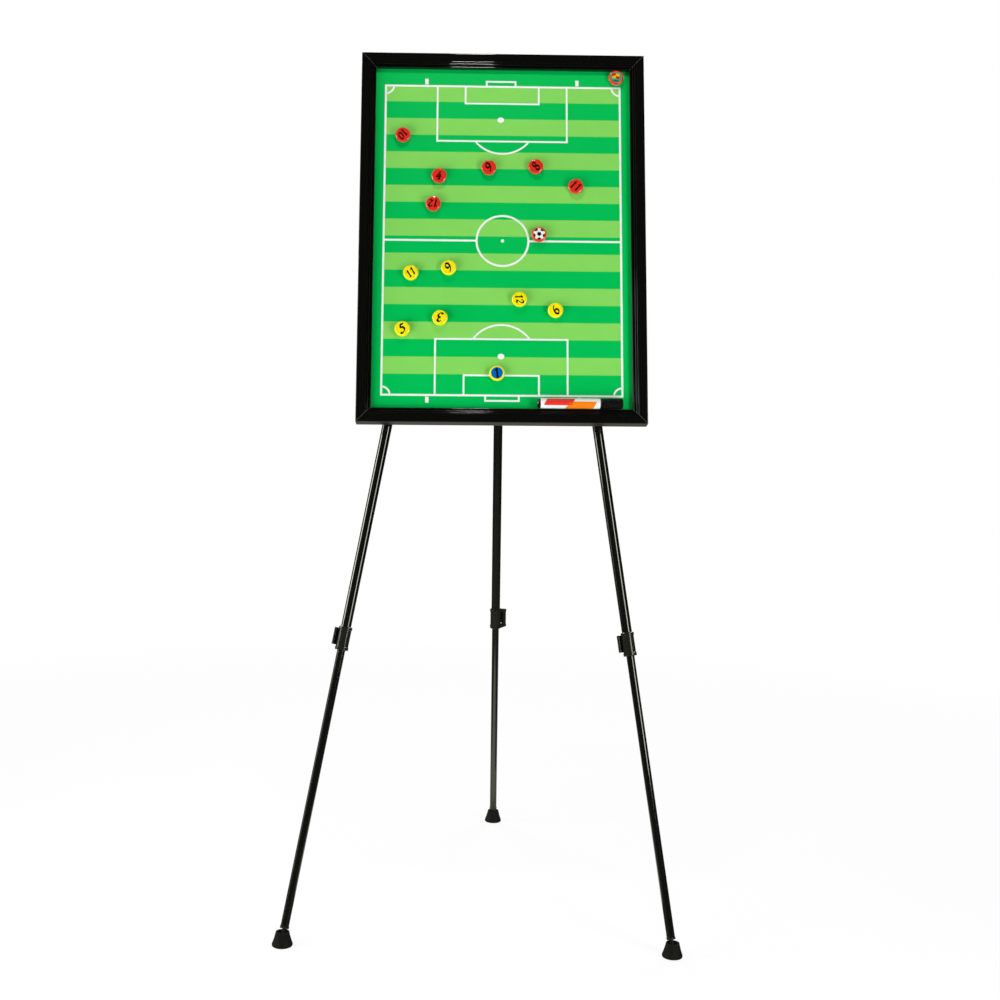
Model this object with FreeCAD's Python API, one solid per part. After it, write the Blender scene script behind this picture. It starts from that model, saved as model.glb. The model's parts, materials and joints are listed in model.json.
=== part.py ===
import FreeCAD, Part
import os
from math import asin, cos, radians, sin, sqrt, tan

# Football tactics board on a folding easel with three telescopic legs.
# Millimetres, +Z up, +Y away from the viewer, origin on the floor in the middle of the easel's box.
# The board and the front legs lean back together. In their leaning frame x runs across, y away from
# the viewer and z up the board, from the middle of the board's bottom front edge.
# A leg has a frame of its own, with its origin on the hinge and the leg running down -z.

Vector = FreeCAD.Vector
Placement = FreeCAD.Placement
Rotation = FreeCAD.Rotation
X_AXIS = Vector(1, 0, 0)
Y_AXIS = Vector(0, 1, 0)
Z_AXIS = Vector(0, 0, 1)
FULL_TURN = 360

# Stance, in degrees from the vertical or from the board's upright middle line. The front legs are drawn
# out about alike but splayed unequally, so the board stands with its right side a little high.
lean_angle = 13.5
side_tilt = 1.6
open_splay_angle = 10.5
left_splay_angle = open_splay_angle
right_splay_angle = 7.7
rear_angle = 12.5
board_bottom_height = 777.5

# Fits and cuts
overrun = 2.0
running_gap = 0.06
seat_gap = 0.05
stop_gap = 0.2
rest_gap = 0.3

# Board and its frame moulding
board_width = 450.0
board_height = 600.0
frame_face = 23.0
frame_depth = 25.0
flat_width = 13.0
edge_round = 1.4
bead_width = 2.3
bead_height = 1.0
bead_step = 1.2
bead_space = 0.9
groove_width = 1.9
groove_depth = 5.0
lip_height = 1.3
rebate_lap = 5.0
sheet_setback = 11.0

# Layers that fill the frame
panel_gap = 0.5
panel_corner = 2.0
sheet_thickness = 0.6
core_thickness = 6.0
back_thickness = 1.0

# Clips, corner wedges and screws on the back of the frame
clip_thickness = 1.0
clip_width = 14.0
clip_foot = 13.0
clip_toe = 10.0
clip_wall_gap = 0.4
clip_bend = 0.6
clip_place_share = 0.2
screw_head_radius = 3.0
screw_head_height = 1.8
screw_shank_radius = 1.5
screw_length = 10.0
wedge_leg = 6.0
wedge_thickness = 0.8
wedge_depth = 8.0
wedge_place_shares = (0.30, 0.56)

# Hanger channel on the top rail, and the bumpers below
hanger_thickness = 1.5
hanger_drop = 3.5
hanger_height = 13.5
hanger_bend = 1.0
hanger_screw_rise_share = 0.38
hanger_screw_spread_share = 0.62
bumper_length = 44.0
bumper_width = 12.0
bumper_height = 5.0
bumper_round = 3.0

# Crown that joins the legs
fork_spread = 74.5
pivot_drop = 40.0
rear_pivot_drop = 19.0
fork_outside = 21.5
fork_inside = 14.5
fork_below = 17.0
fork_roof = 4.0
fork_web = 4.0
crown_depth = 18.0
crown_shoulder = 6.0
crown_corner = 12.0
crown_side_rise = 15.0
crown_middle_rise = 20.0
crown_arch_drop = 7.0
crown_boss = 16.0
crown_round = 4.0
crown_pocket_wall = 5.0
crown_pocket_depth = 12.0
rear_wall = 2.0
rear_cheek = 5.0
tongue_width = 60.0
tongue_thickness = 5.0
tongue_round = 4.0

# Hinge rivets
rivet_radius = 3.0
rivet_head_radius = 5.0
rivet_head_height = 2.0

# Leg tubes and the knuckle in the upper one
upper_radius = 7.75
upper_wall = 1.0
lower_radius = 6.2
lower_wall = 0.9
tube_overlap = 47.7
knuckle_half_width = 7.0
knuckle_thickness = 8.0
knuckle_shoulder = 22.0
knuckle_flange = 4.0
knuckle_plug = 30.0
knuckle_groove = 0.8
knuckle_groove_width = 3.0
bush_flange = 8.0
bush_plug = 12.0
bush_chamfer = 0.8

# Clamp collar at the foot of the upper tube
collar_top = 886.5
collar_height = 36.0
collar_radius = 10.2
collar_socket = 20.0
collar_band = 4.5
collar_waist = 0.7
collar_chamfer = 0.8
collar_split = 1.6
ear_thickness = 2.6
ear_top_inset = 0.4
ear_bottom_inset = 4.2
ear_radius = 3.9

# Clamp lever and its pin
lever_pin_offset = 15.6
lever_pin_radius = 1.4
lever_pin_head = 0.8
lever_pin_head_radius = 2.2
lever_hub_radius = 3.2
lever_play = 0.15
lever_inner_radius = 12.0
lever_arm_thickness = 3.0
lever_arm_sweep = 82.0
lever_grip_radius = 2.3

# Swivel foot and its ball stud
ball_radius = 5.5
ball_height = 12.0
stud_neck_radius = 2.4
stud_neck_length = 12.0
stud_cone_radius = 3.4
stud_cone_top = 13.2
stud_flange_radius = 6.75
stud_flange_bottom = 13.5
stud_flange_height = 3.0
stud_plug = 20.0
foot_radius = 15.3
foot_top_radius = 10.0
foot_height = 21.0
foot_edge = 1.2
foot_wall = 3.0
foot_mouth_radius = 8.6
foot_throat_rise = 3.0
foot_waist_share = 0.42

# Marker pen on the bottom rail
pen_radius = 8.0
pen_right_gap = 15.6
pen_plug_length = 5.0
pen_plug_radius = 6.9
pen_plug_insert = 8.0
pen_plug_round = 1.5
pen_barrel_length = 92.0
pen_barrel_bore = 7.0
pen_front_wall = 7.0
pen_shoulder = 1.2
pen_neck_radius = 5.6
pen_neck_length = 15.0
pen_nib_radius = 2.5
pen_nib_reach = 9.0
pen_nib_tip = 2.0
pen_cap_length = 35.0
pen_cap_nose_radius = 4.5
pen_cap_nose_depth = 13.0
pen_cap_round = 1.5
pen_flute_count = 10
pen_flute_radius = 1.6
pen_flute_bite = 0.7
pen_flute_margin = 5.0

# Magnets: places are shares of the room that a magnet has each way from the middle of the opening
magnet_radius = 12.1
magnet_base_radius = 9.4
magnet_brim = 4.0
magnet_height = 8.0
magnet_lift = 0.2
magnet_margin = 0.5
magnet_draft = 0.2
magnet_foot = 0.8
magnet_rim_round = 2.2
magnet_rim_land = 0.4
magnet_face_depth = 0.7
magnet_insert_thickness = 0.45
magnet_pocket_radius = 8.0
magnet_pocket_depth = 4.0
magnet_place_shares = {
    "magnet_red_10": (-0.836, 0.622),
    "magnet_red_4": (-0.531, 0.368),
    "magnet_red_9": (-0.116, 0.422),
    "magnet_red_8": (0.276, 0.432),
    "magnet_red_11": (0.609, 0.311),
    "magnet_red_12": (-0.576, 0.193),
    "magnet_yellow_11": (-0.756, -0.233),
    "magnet_yellow_9": (-0.444, -0.200),
    "magnet_yellow_12": (0.141, -0.389),
    "magnet_yellow_6": (0.437, -0.454),
    "magnet_yellow_3": (-0.512, -0.505),
    "magnet_yellow_5": (-0.820, -0.574),
    "magnet_keeper": (-0.042, -0.837),
    "magnet_ball": (0.303, 0.010),
    "magnet_flag": (0.954, 1.0),
}

# Sizes that follow from those above
rebate_edge = frame_face - rebate_lap
opening_half_width = board_width / 2 - frame_face
opening_half_height = board_height / 2 - frame_face
panel_width = board_width - 2 * (rebate_edge + panel_gap)
panel_height = board_height - 2 * (rebate_edge + panel_gap)
panel_back = sheet_setback + sheet_thickness + core_thickness + back_thickness
leg_setback = frame_depth + bumper_height + rest_gap + upper_radius
crown_front = leg_setback - crown_depth / 2
crown_back = leg_setback + crown_depth / 2
tongue_top = board_height - hanger_drop - hanger_thickness
slot_half_width = knuckle_half_width + stop_gap
rear_setback = crown_back + rear_wall + slot_half_width
pivot_rise = board_height - pivot_drop
rear_pivot_rise = pivot_rise - rear_pivot_drop
rear_half_width = knuckle_thickness / 2 + stop_gap + rear_cheek
rear_stop = lean_angle + rear_angle
upper_bore = upper_radius - upper_wall
lower_bore = lower_radius - lower_wall
tube_top = knuckle_shoulder + knuckle_flange
tube_bottom = collar_top + collar_socket
stud_flange_top = stud_flange_bottom + stud_flange_height
upper_ear_bottom = -ear_top_inset - ear_thickness
lower_ear_bottom = -collar_height + ear_bottom_inset
lever_bottom = lower_ear_bottom + ear_thickness + lever_play
lever_height = upper_ear_bottom - lever_play - lever_bottom
pen_length = pen_plug_length + pen_barrel_length + pen_cap_length


def upright(radius, height):
    return Vector(radius, 0, height)


def facing(across, up):
    return Vector(across, 0, up)


def sideways(depth, up):
    return Vector(0, depth, up)


def outline(plane, start, moves):
    """Closed wire in a plane. A move is an end point, or a middle and an end point for an arc."""
    edges = []
    here = start
    for move in moves:
        if isinstance(move[0], tuple):
            middle, end = move
            edges.append(Part.Arc(plane(*here), plane(*middle), plane(*end)).toShape())
        else:
            end = move
            edges.append(Part.makeLine(plane(*here), plane(*end)))
        here = end
    if here != start:
        edges.append(Part.makeLine(plane(*here), plane(*start)))
    return Part.Wire(edges)


def turned(start, moves):
    """Solid of revolution about z from an outline of radii and heights."""
    return Part.Face(outline(upright, start, moves)).revolve(Vector(), Z_AXIS, FULL_TURN)


def dome_middle(radius, height):
    """Point halfway down a round dome of that base radius and height."""
    sphere = (radius ** 2 + height ** 2) / (2 * height)
    half = asin(radius / sphere) / 2
    return sphere * sin(half), height - sphere * (1 - cos(half))


def cylinder(radius, length, base, axis=Z_AXIS):
    return Part.makeCylinder(radius, length, base, axis)


def block(width, depth, height, corner):
    return Part.makeBox(width, depth, height, corner)


def ring(outer, inner, height, base):
    whole = cylinder(outer, height, base)
    hole = cylinder(inner, height + 2 * overrun, base - Z_AXIS * overrun)
    return whole.cut(hole)


def edges_along(shape, axis):
    """Straight edges that run along an axis."""
    found = []
    for edge in shape.Edges:
        if isinstance(edge.Curve, Part.Line) and abs(edge.Curve.Direction.dot(axis)) > cos(radians(1)):
            found.append(edge)
    return found


def moved(shape, placement):
    result = shape.copy()
    result.Placement = placement.multiply(result.Placement)
    return result


def round_the_board(shape, turn):
    """Turns a piece of the bottom side, made about the board's middle, to the side at that turn."""
    return moved(shape, Placement(Vector(0, 0, board_height / 2), Rotation(Y_AXIS, turn)))


# Turn about the board's middle, length and distance from the middle of each side of the frame
frame_sides = {
    "frame_bottom_rail": (0, board_width, board_height / 2),
    "frame_right_stile": (-90, board_height, board_width / 2),
    "frame_top_rail": (180, board_width, board_height / 2),
    "frame_left_stile": (90, board_height, board_width / 2),
}


def moulding_profile():
    """Section of the frame: depth behind the front face, and distance in from the outer edge."""
    first_bead = flat_width
    second_bead = first_bead + bead_width + bead_space
    groove = second_bead + bead_width
    lip = groove + groove_width
    first_level = bead_step
    second_level = 2 * bead_step
    corner_middle = edge_round * (1 - sqrt(0.5))
    return outline(sideways, (frame_depth, 0), [
        (edge_round, 0),
        ((corner_middle, corner_middle), (0, edge_round)),
        (0, flat_width),
        (first_level, flat_width),
        ((first_level - bead_height, first_bead + bead_width / 2), (first_level, first_bead + bead_width)),
        (second_level, first_bead + bead_width),
        (second_level, second_bead),
        ((second_level - bead_height, second_bead + bead_width / 2), (second_level, groove)),
        (groove_depth, groove),
        (groove_depth, lip),
        ((groove_depth - lip_height, (lip + frame_face) / 2), (groove_depth, frame_face)),
        (sheet_setback, frame_face),
        (sheet_setback, rebate_edge),
        (frame_depth, rebate_edge),
    ])


def corner_wedges():
    """Bent steel wedges across the mitre at the right end of a bottom side whose corner is at the origin."""
    leg = wedge_leg / sqrt(2)
    thick = wedge_thickness * sqrt(2)
    wedges = []
    for share in wedge_place_shares:
        place = share * frame_face
        shape = outline(facing, (-place, place), [
            (-place, place + leg),
            (-place - thick / 2, place + leg),
            (-place - thick / 2, place + thick / 2),
            (-place - leg, place + thick / 2),
            (-place - leg, place),
        ])
        solid = Part.Face(shape).extrude(Vector(0, wedge_depth, 0))
        wedges.append(moved(solid, Placement(Vector(0, frame_depth - wedge_depth, 0), Rotation())))
    return wedges


def side_wedges(length, reach):
    place = Placement(Vector(length / 2, 0, -reach), Rotation())
    return [moved(wedge, place) for wedge in corner_wedges()]


def all_wedges():
    wedges = []
    for turn, length, reach in frame_sides.values():
        wedges += [round_the_board(wedge, turn) for wedge in side_wedges(length, reach)]
    return wedges


def screw():
    """Round-headed screw with its head's seat at the origin, driven towards the viewer."""
    solid = turned((0, -screw_length), [
        (screw_shank_radius, -screw_length + screw_shank_radius),
        (screw_shank_radius, 0),
        (screw_head_radius, 0),
        (dome_middle(screw_head_radius, screw_head_height), (0, screw_head_height)),
    ])
    return moved(solid, Placement(Vector(), Rotation(X_AXIS, -90)))


def clip_screw_seats(length, reach):
    """Seats of the clip screws on one side of the frame, before it is turned to its place."""
    height = -reach + rebate_edge - clip_foot / 2
    spread = clip_place_share * length
    depth = frame_depth + clip_thickness
    return [Vector(-spread, depth, height), Vector(spread, depth, height)]


def hanger_screw_seats():
    spread = hanger_screw_spread_share * tongue_width / 2
    height = board_height - hanger_drop - hanger_height * (1 - hanger_screw_rise_share)
    depth = frame_depth + hanger_thickness
    return [Vector(across, depth, height) for across in (-spread, 0, spread)]


def screws():
    placed = []
    for turn, length, reach in frame_sides.values():
        for seat in clip_screw_seats(length, reach):
            placed.append(round_the_board(moved(screw(), Placement(seat, Rotation())), turn))
    for seat in hanger_screw_seats():
        placed.append(moved(screw(), Placement(seat, Rotation())))
    return placed


def frame_side(turn, length, reach):
    """One mitred length of moulding, with the holes for its clips and wedges."""
    bar = Part.Face(moulding_profile()).extrude(Vector(length, 0, 0))
    bar = moved(bar, Placement(Vector(-length / 2, 0, -reach), Rotation()))
    inner = length / 2 - frame_face
    mitre = outline(facing, (-length / 2, -reach), [
        (length / 2, -reach),
        (inner, -reach + frame_face),
        (-inner, -reach + frame_face),
    ])
    prism = Part.Face(mitre).extrude(Vector(0, frame_depth + 2 * overrun, 0))
    bar = bar.common(moved(prism, Placement(Vector(0, -overrun, 0), Rotation())))
    for seat in clip_screw_seats(length, reach):
        bar = bar.cut(cylinder(screw_shank_radius, screw_length, seat, -Y_AXIS))
    return round_the_board(bar, turn)


def board_frame_sides():
    """The four sides, cut for the wedges at the corners and for the hanger's screws."""
    cutters = all_wedges()
    for seat in hanger_screw_seats():
        cutters.append(cylinder(screw_shank_radius, screw_length, seat, -Y_AXIS))
    return {name: frame_side(*place).cut(cutters) for name, place in frame_sides.items()}


def panel_layer(depth, thickness):
    sheet = block(panel_width, thickness, panel_height, Vector(-panel_width / 2, depth, 0))
    sheet = sheet.makeFillet(panel_corner, edges_along(sheet, Y_AXIS))
    return moved(sheet, Placement(Vector(0, 0, (board_height - panel_height) / 2), Rotation()))


def panel_clip(reach):
    """Offset clip: foot on the frame's back, wall down the rebate, toe on the back sheet."""
    wall = rebate_edge + clip_wall_gap
    back = frame_depth + clip_thickness
    profile = outline(sideways, (frame_depth, rebate_edge - clip_foot), [
        (back, rebate_edge - clip_foot),
        (back, wall + clip_thickness),
        (panel_back + clip_thickness, wall + clip_thickness),
        (panel_back + clip_thickness, wall + clip_toe),
        (panel_back, wall + clip_toe),
        (panel_back, wall),
        (frame_depth, wall),
    ])
    strip = Part.Face(profile).extrude(Vector(clip_width, 0, 0))
    bend_level = wall + clip_thickness
    bends = [edge for edge in edges_along(strip, X_AXIS)
             if abs(edge.CenterOfMass.z - bend_level) < clip_bend]
    strip = strip.makeFillet(clip_bend, bends)
    return moved(strip, Placement(Vector(-clip_width / 2, 0, -reach), Rotation()))


def panel_clips():
    clips = []
    for turn, length, reach in frame_sides.values():
        for seat in clip_screw_seats(length, reach):
            clip = moved(panel_clip(reach), Placement(Vector(seat.x, 0, 0), Rotation()))
            clip = clip.cut(cylinder(screw_shank_radius, screw_length, seat, -Y_AXIS))
            clips.append(round_the_board(clip, turn))
    return Part.makeCompound(clips)


def hanger():
    """Bent channel, closed at both ends, that drops over the crown's tongue."""
    half = tongue_width / 2 + rest_gap + hanger_thickness
    top = board_height - hanger_drop
    bottom = top - hanger_height
    lip_front = crown_front + tongue_thickness + rest_gap
    lip_back = lip_front + hanger_thickness
    flange_back = frame_depth + hanger_thickness
    shell = block(2 * half, lip_back - frame_depth, hanger_height, Vector(-half, frame_depth, bottom))
    back_top = max(edges_along(shell, X_AXIS), key=lambda edge: edge.CenterOfMass.y + edge.CenterOfMass.z)
    shell = shell.makeFillet(hanger_bend, [back_top])
    hollow = block(tongue_width + 2 * rest_gap, lip_front - flange_back, hanger_height,
                   Vector(-tongue_width / 2 - rest_gap, flange_back, bottom - hanger_thickness))
    channel = shell.cut(hollow)
    for seat in hanger_screw_seats():
        channel = channel.cut(cylinder(screw_shank_radius, screw_length, seat, -Y_AXIS))
    return channel


def bumpers():
    """Two rubber pads on the bottom rail, where the front legs pass behind it."""
    mean_splay = (left_splay_angle + right_splay_angle) / 2
    middle = rebate_edge / 2
    place = fork_spread + (pivot_rise - middle) * tan(radians(mean_splay))
    pads = []
    for side in (-1, 1):
        corner = Vector(side * place - bumper_length / 2, frame_depth, middle - bumper_width / 2)
        pad = block(bumper_length, bumper_height, bumper_width, corner)
        pads.append(pad.makeFillet(bumper_round, edges_along(pad, Y_AXIS)))
    return Part.makeCompound(pads)


def leg_slot(plane, pivot, side, stop, reach):
    """Outline of a fork's slot: one wall stops the leg upright, the other stops it at its open angle."""
    across, up = pivot
    lean_x = sin(radians(stop))
    lean_z = cos(radians(stop))
    half = slot_half_width
    outer = (across + side * half * lean_z, up + half * lean_x)
    return outline(plane, (across - side * half, up), [
        (across - side * half, up - reach),
        (outer[0] + side * (reach + half * lean_x) * lean_x / lean_z, up - reach),
        (outer[0], outer[1]),
        ((across, up + half), (across - side * half, up)),
    ])


def crown_plate():
    """Bridge-shaped body with a boss in the middle and a fork at each end."""
    foot = pivot_rise - fork_below
    boss_foot = rear_pivot_rise - fork_below
    arch = pivot_rise - crown_arch_drop
    outside = fork_spread + fork_outside
    inside = fork_spread - fork_inside
    right = [
        (crown_boss, boss_foot),
        (crown_boss, arch),
        (inside, arch),
        (inside, foot),
        (outside, foot),
        (outside, pivot_rise + crown_shoulder),
        (outside - crown_corner, pivot_rise + crown_side_rise),
        (tongue_width / 2 + crown_corner, pivot_rise + crown_middle_rise),
    ]
    left = [(-across, up) for across, up in reversed(right)]
    points = right + left
    plate = Part.Face(outline(facing, points[0], points[1:])).extrude(Vector(0, crown_depth, 0))
    plate = plate.makeFillet(crown_round, edges_along(plate, Y_AXIS))
    return moved(plate, Placement(Vector(0, crown_front, 0), Rotation()))


def crown_tongue():
    root = pivot_rise + crown_shoulder
    tongue = block(tongue_width, tongue_thickness, tongue_top - root,
                   Vector(-tongue_width / 2, crown_front, root))
    top_edges = [edge for edge in edges_along(tongue, Y_AXIS) if edge.CenterOfMass.z > root]
    return tongue.makeFillet(tongue_round, top_edges)


def rear_fork():
    """Two cheeks behind the boss, closed at the back by the web that stops the rear leg."""
    out_y = sin(radians(rear_stop))
    out_z = cos(radians(rear_stop))
    wall = slot_half_width + fork_web
    top = rear_pivot_rise + slot_half_width + fork_roof
    shoulder = (rear_setback + wall * out_z, rear_pivot_rise + wall * out_y)
    heel = (shoulder[0] + fork_below * out_y, shoulder[1] - fork_below * out_z)
    profile = outline(sideways, (crown_back - rear_wall, top), [
        (rear_setback, top),
        shoulder,
        heel,
        (crown_back - rear_wall, rear_pivot_rise - fork_below),
    ])
    solid = Part.Face(profile).extrude(Vector(2 * rear_half_width, 0, 0))
    return moved(solid, Placement(Vector(-rear_half_width, 0, 0), Rotation()))


def crown():
    """One moulding: plate, tongue and rear fork, slotted for the knuckles and hollowed from behind."""
    body = crown_plate().fuse([crown_tongue(), rear_fork()]).removeSplitter()
    slot_width = knuckle_thickness + 2 * stop_gap
    reach = fork_below + overrun
    for side in (-1, 1):
        wire = leg_slot(facing, (side * fork_spread, pivot_rise), side, open_splay_angle, reach)
        slot = Part.Face(wire).extrude(Vector(0, slot_width, 0))
        body = body.cut(moved(slot, Placement(Vector(0, leg_setback - slot_width / 2, 0), Rotation())))
        hole = Vector(side * fork_spread, crown_front - overrun, pivot_rise)
        body = body.cut(cylinder(rivet_radius, crown_depth + 2 * overrun, hole, Y_AXIS))
        body = body.cut(crown_pocket(side))
    wire = leg_slot(sideways, (rear_setback, rear_pivot_rise), 1, rear_stop, reach)
    slot = Part.Face(wire).extrude(Vector(slot_width, 0, 0))
    body = body.cut(moved(slot, Placement(Vector(-slot_width / 2, 0, 0), Rotation())))
    hole = Vector(-rear_half_width - overrun, rear_setback, rear_pivot_rise)
    return body.cut(cylinder(rivet_radius, 2 * (rear_half_width + overrun), hole, X_AXIS))


def crown_pocket(side):
    """Hollow in the crown's back between the boss and a fork, which leaves ribs round it."""
    inner = crown_boss + crown_pocket_wall
    outer = fork_spread - fork_inside - crown_pocket_wall
    low = pivot_rise - crown_arch_drop + crown_pocket_wall
    high = pivot_rise + crown_side_rise - crown_pocket_wall
    start = inner if side > 0 else -outer
    hollow = block(outer - inner, crown_pocket_depth + overrun, high - low,
                   Vector(start, crown_back - crown_pocket_depth, low))
    return hollow.makeFillet(crown_round, edges_along(hollow, Y_AXIS))


def rivet(grip):
    """Round-headed rivet along z, centred on its grip."""
    half = grip / 2
    across, rise = dome_middle(rivet_head_radius, rivet_head_height)
    return turned((0, -half - rivet_head_height), [
        ((across, -half - rise), (rivet_head_radius, -half)),
        (rivet_radius, -half),
        (rivet_radius, half),
        (rivet_head_radius, half),
        ((across, half + rise), (0, half + rivet_head_height)),
    ])


def hinge_rivets():
    front = [Placement(Vector(side * fork_spread, leg_setback, pivot_rise), Rotation(X_AXIS, 90))
             for side in (-1, 1)]
    rear = Placement(Vector(0, rear_setback, rear_pivot_rise), Rotation(Y_AXIS, 90))
    rivets = [moved(rivet(crown_depth), place) for place in front]
    rivets.append(moved(rivet(2 * rear_half_width), rear))
    return Part.makeCompound(rivets)


def knuckle():
    """Plug in the tube's top with a flat tongue and an eye on the rivet, which lies along y."""
    half = knuckle_half_width
    eye = outline(facing, (-half, -knuckle_shoulder), [
        (-half, 0),
        ((0, half), (half, 0)),
        (half, -knuckle_shoulder),
    ])
    tongue = Part.Face(eye).extrude(Vector(0, knuckle_thickness, 0))
    tongue = moved(tongue, Placement(Vector(0, -knuckle_thickness / 2, 0), Rotation()))
    plug_radius = upper_bore - seat_gap
    plug_foot = -tube_top - knuckle_plug
    waist = plug_radius - knuckle_groove
    moves = [(upper_radius, -tube_top), (upper_radius, -knuckle_shoulder - knuckle_groove)]
    moves += [(upper_radius - knuckle_groove, -knuckle_shoulder), (0, -knuckle_shoulder), (0, plug_foot)]
    moves += [(waist, plug_foot), (plug_radius, plug_foot + knuckle_groove)]
    middle = -tube_top - knuckle_plug / 2
    moves += [(plug_radius, middle - knuckle_groove_width), (waist, middle - knuckle_groove_width)]
    moves += [(waist, middle + knuckle_groove_width), (plug_radius, middle + knuckle_groove_width)]
    plug = turned((plug_radius, -tube_top), moves)
    body = tongue.fuse(plug).removeSplitter()
    hole = Vector(0, -knuckle_thickness, 0)
    return body.cut(cylinder(rivet_radius + running_gap, 2 * knuckle_thickness, hole, Y_AXIS))


def upper_tube():
    return ring(upper_radius, upper_bore, tube_bottom - tube_top, Vector(0, 0, -tube_bottom))


def clamp_ear(bottom, height):
    """Flat ear on the side of the collar that holds one end of the lever's pin."""
    corner = Vector(-lever_pin_offset, -ear_radius, bottom)
    tab = block(lever_pin_offset, 2 * ear_radius, height, corner)
    return tab.fuse(cylinder(ear_radius, height, Vector(-lever_pin_offset, 0, bottom)))


def lower_clamp_ear():
    """Ear whose underside slants from its end down to the collar's foot, bored for the pin's head."""
    foot = -collar_height + collar_chamfer
    top = lower_ear_bottom + ear_thickness
    end = -lever_pin_offset - ear_radius
    ear = clamp_ear(foot, top - foot)
    side = outline(facing, (0, top), [
        (end, top),
        (end, lower_ear_bottom),
        (-collar_radius, foot),
        (0, foot),
    ])
    slant = Part.Face(side).extrude(Vector(0, 2 * ear_radius, 0))
    ear = ear.common(moved(slant, Placement(Vector(0, -ear_radius, 0), Rotation())))
    bore = Vector(-lever_pin_offset, 0, foot)
    return ear.cut(cylinder(lever_pin_head_radius + seat_gap, lower_ear_bottom - foot, bore))


def clamp_collar():
    """Collar seated on the upper tube, split below it under the lever's arm, with two ears for the lever."""
    low = -collar_height
    waist = collar_radius - collar_waist
    rim = collar_radius - collar_chamfer
    body = turned((0, 0), [
        (rim, 0),
        (collar_radius, -collar_chamfer),
        (collar_radius, -collar_band),
        (waist, -collar_band - collar_waist),
        (waist, low + collar_band + collar_waist),
        (collar_radius, low + collar_band),
        (collar_radius, low + collar_chamfer),
        (rim, low),
        (0, low),
    ])
    body = body.fuse([clamp_ear(upper_ear_bottom, ear_thickness), lower_clamp_ear()]).removeSplitter()
    body = body.cut(cylinder(upper_radius + seat_gap, collar_socket + overrun, Vector(0, 0, -collar_socket)))
    body = body.cut(cylinder(lower_radius + running_gap, collar_height, Vector(0, 0, low - overrun)))
    split = block(collar_split, 2 * collar_radius, collar_height - collar_socket + overrun,
                  Vector(-collar_split / 2, -2 * collar_radius, low - overrun))
    body = body.cut(split)
    pin_hole = Vector(-lever_pin_offset, 0, low)
    return body.cut(cylinder(lever_pin_radius + seat_gap, collar_height, pin_hole))


def clamp_lever():
    """Lever that hugs the collar: hub on the pin, curved arm round the split, rolled grip at its end."""
    outer = lever_inner_radius + lever_arm_thickness
    base = Vector(0, 0, lever_bottom)
    arm = Part.makeCylinder(outer, lever_height, base, Z_AXIS, lever_arm_sweep)
    hollow = cylinder(lever_inner_radius, lever_height + 2 * overrun, base - Z_AXIS * overrun)
    arm = moved(arm.cut(hollow), Placement(Vector(), Rotation(Z_AXIS, FULL_TURN / 2)))
    hub = cylinder(lever_hub_radius, lever_height, Vector(-lever_pin_offset, 0, lever_bottom))
    tip = radians(FULL_TURN / 2 + lever_arm_sweep)
    middle = lever_inner_radius + lever_grip_radius
    grip_base = Vector(middle * cos(tip), middle * sin(tip), lever_bottom)
    grip = cylinder(lever_grip_radius, lever_height, grip_base)
    body = arm.fuse([hub, grip]).removeSplitter()
    hole = Vector(-lever_pin_offset, 0, lever_bottom - overrun)
    return body.cut(cylinder(lever_pin_radius + running_gap, lever_height + 2 * overrun, hole))


def lever_pin():
    """Pin through both ears, with a flat head at each end."""
    top = -ear_top_inset
    bottom = lower_ear_bottom
    pin = turned((0, bottom - lever_pin_head), [
        (lever_pin_head_radius, bottom - lever_pin_head),
        (lever_pin_head_radius, bottom),
        (lever_pin_radius, bottom),
        (lever_pin_radius, top),
        (lever_pin_head_radius, top),
        (lever_pin_head_radius, top + lever_pin_head),
        (0, top + lever_pin_head),
    ])
    return moved(pin, Placement(Vector(-lever_pin_offset, 0, 0), Rotation()))


def lower_tube(length):
    """Inner tube with its foot end at the origin."""
    return ring(lower_radius, lower_bore, length, Vector())


def glide_bush(length):
    """Plug in the inner tube's top whose flange runs in the outer tube."""
    flange = upper_bore - running_gap
    plug = lower_bore - seat_gap
    return turned((0, length - bush_plug), [
        (plug - bush_chamfer, length - bush_plug),
        (plug, length - bush_plug + bush_chamfer),
        (plug, length),
        (flange - bush_chamfer, length),
        (flange, length + bush_chamfer),
        (flange, length + bush_flange - bush_chamfer),
        (flange - bush_chamfer, length + bush_flange),
        (0, length + bush_flange),
    ])


def ball_stud():
    """Ball at the origin, neck, flange under the inner tube and plug inside it."""
    neck_height = sqrt(ball_radius ** 2 - stud_neck_radius ** 2)
    plug = lower_bore - seat_gap
    plug_top = stud_flange_top + stud_plug
    return turned((0, -ball_radius), [
        ((ball_radius, 0), (stud_neck_radius, neck_height)),
        (stud_neck_radius, stud_neck_length),
        (stud_cone_radius, stud_cone_top),
        (stud_cone_radius, stud_flange_bottom),
        (stud_flange_radius, stud_flange_bottom),
        (stud_flange_radius, stud_flange_top),
        (plug, stud_flange_top),
        (plug, plug_top - bush_chamfer),
        (plug - bush_chamfer, plug_top),
        (0, plug_top),
    ])


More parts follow.
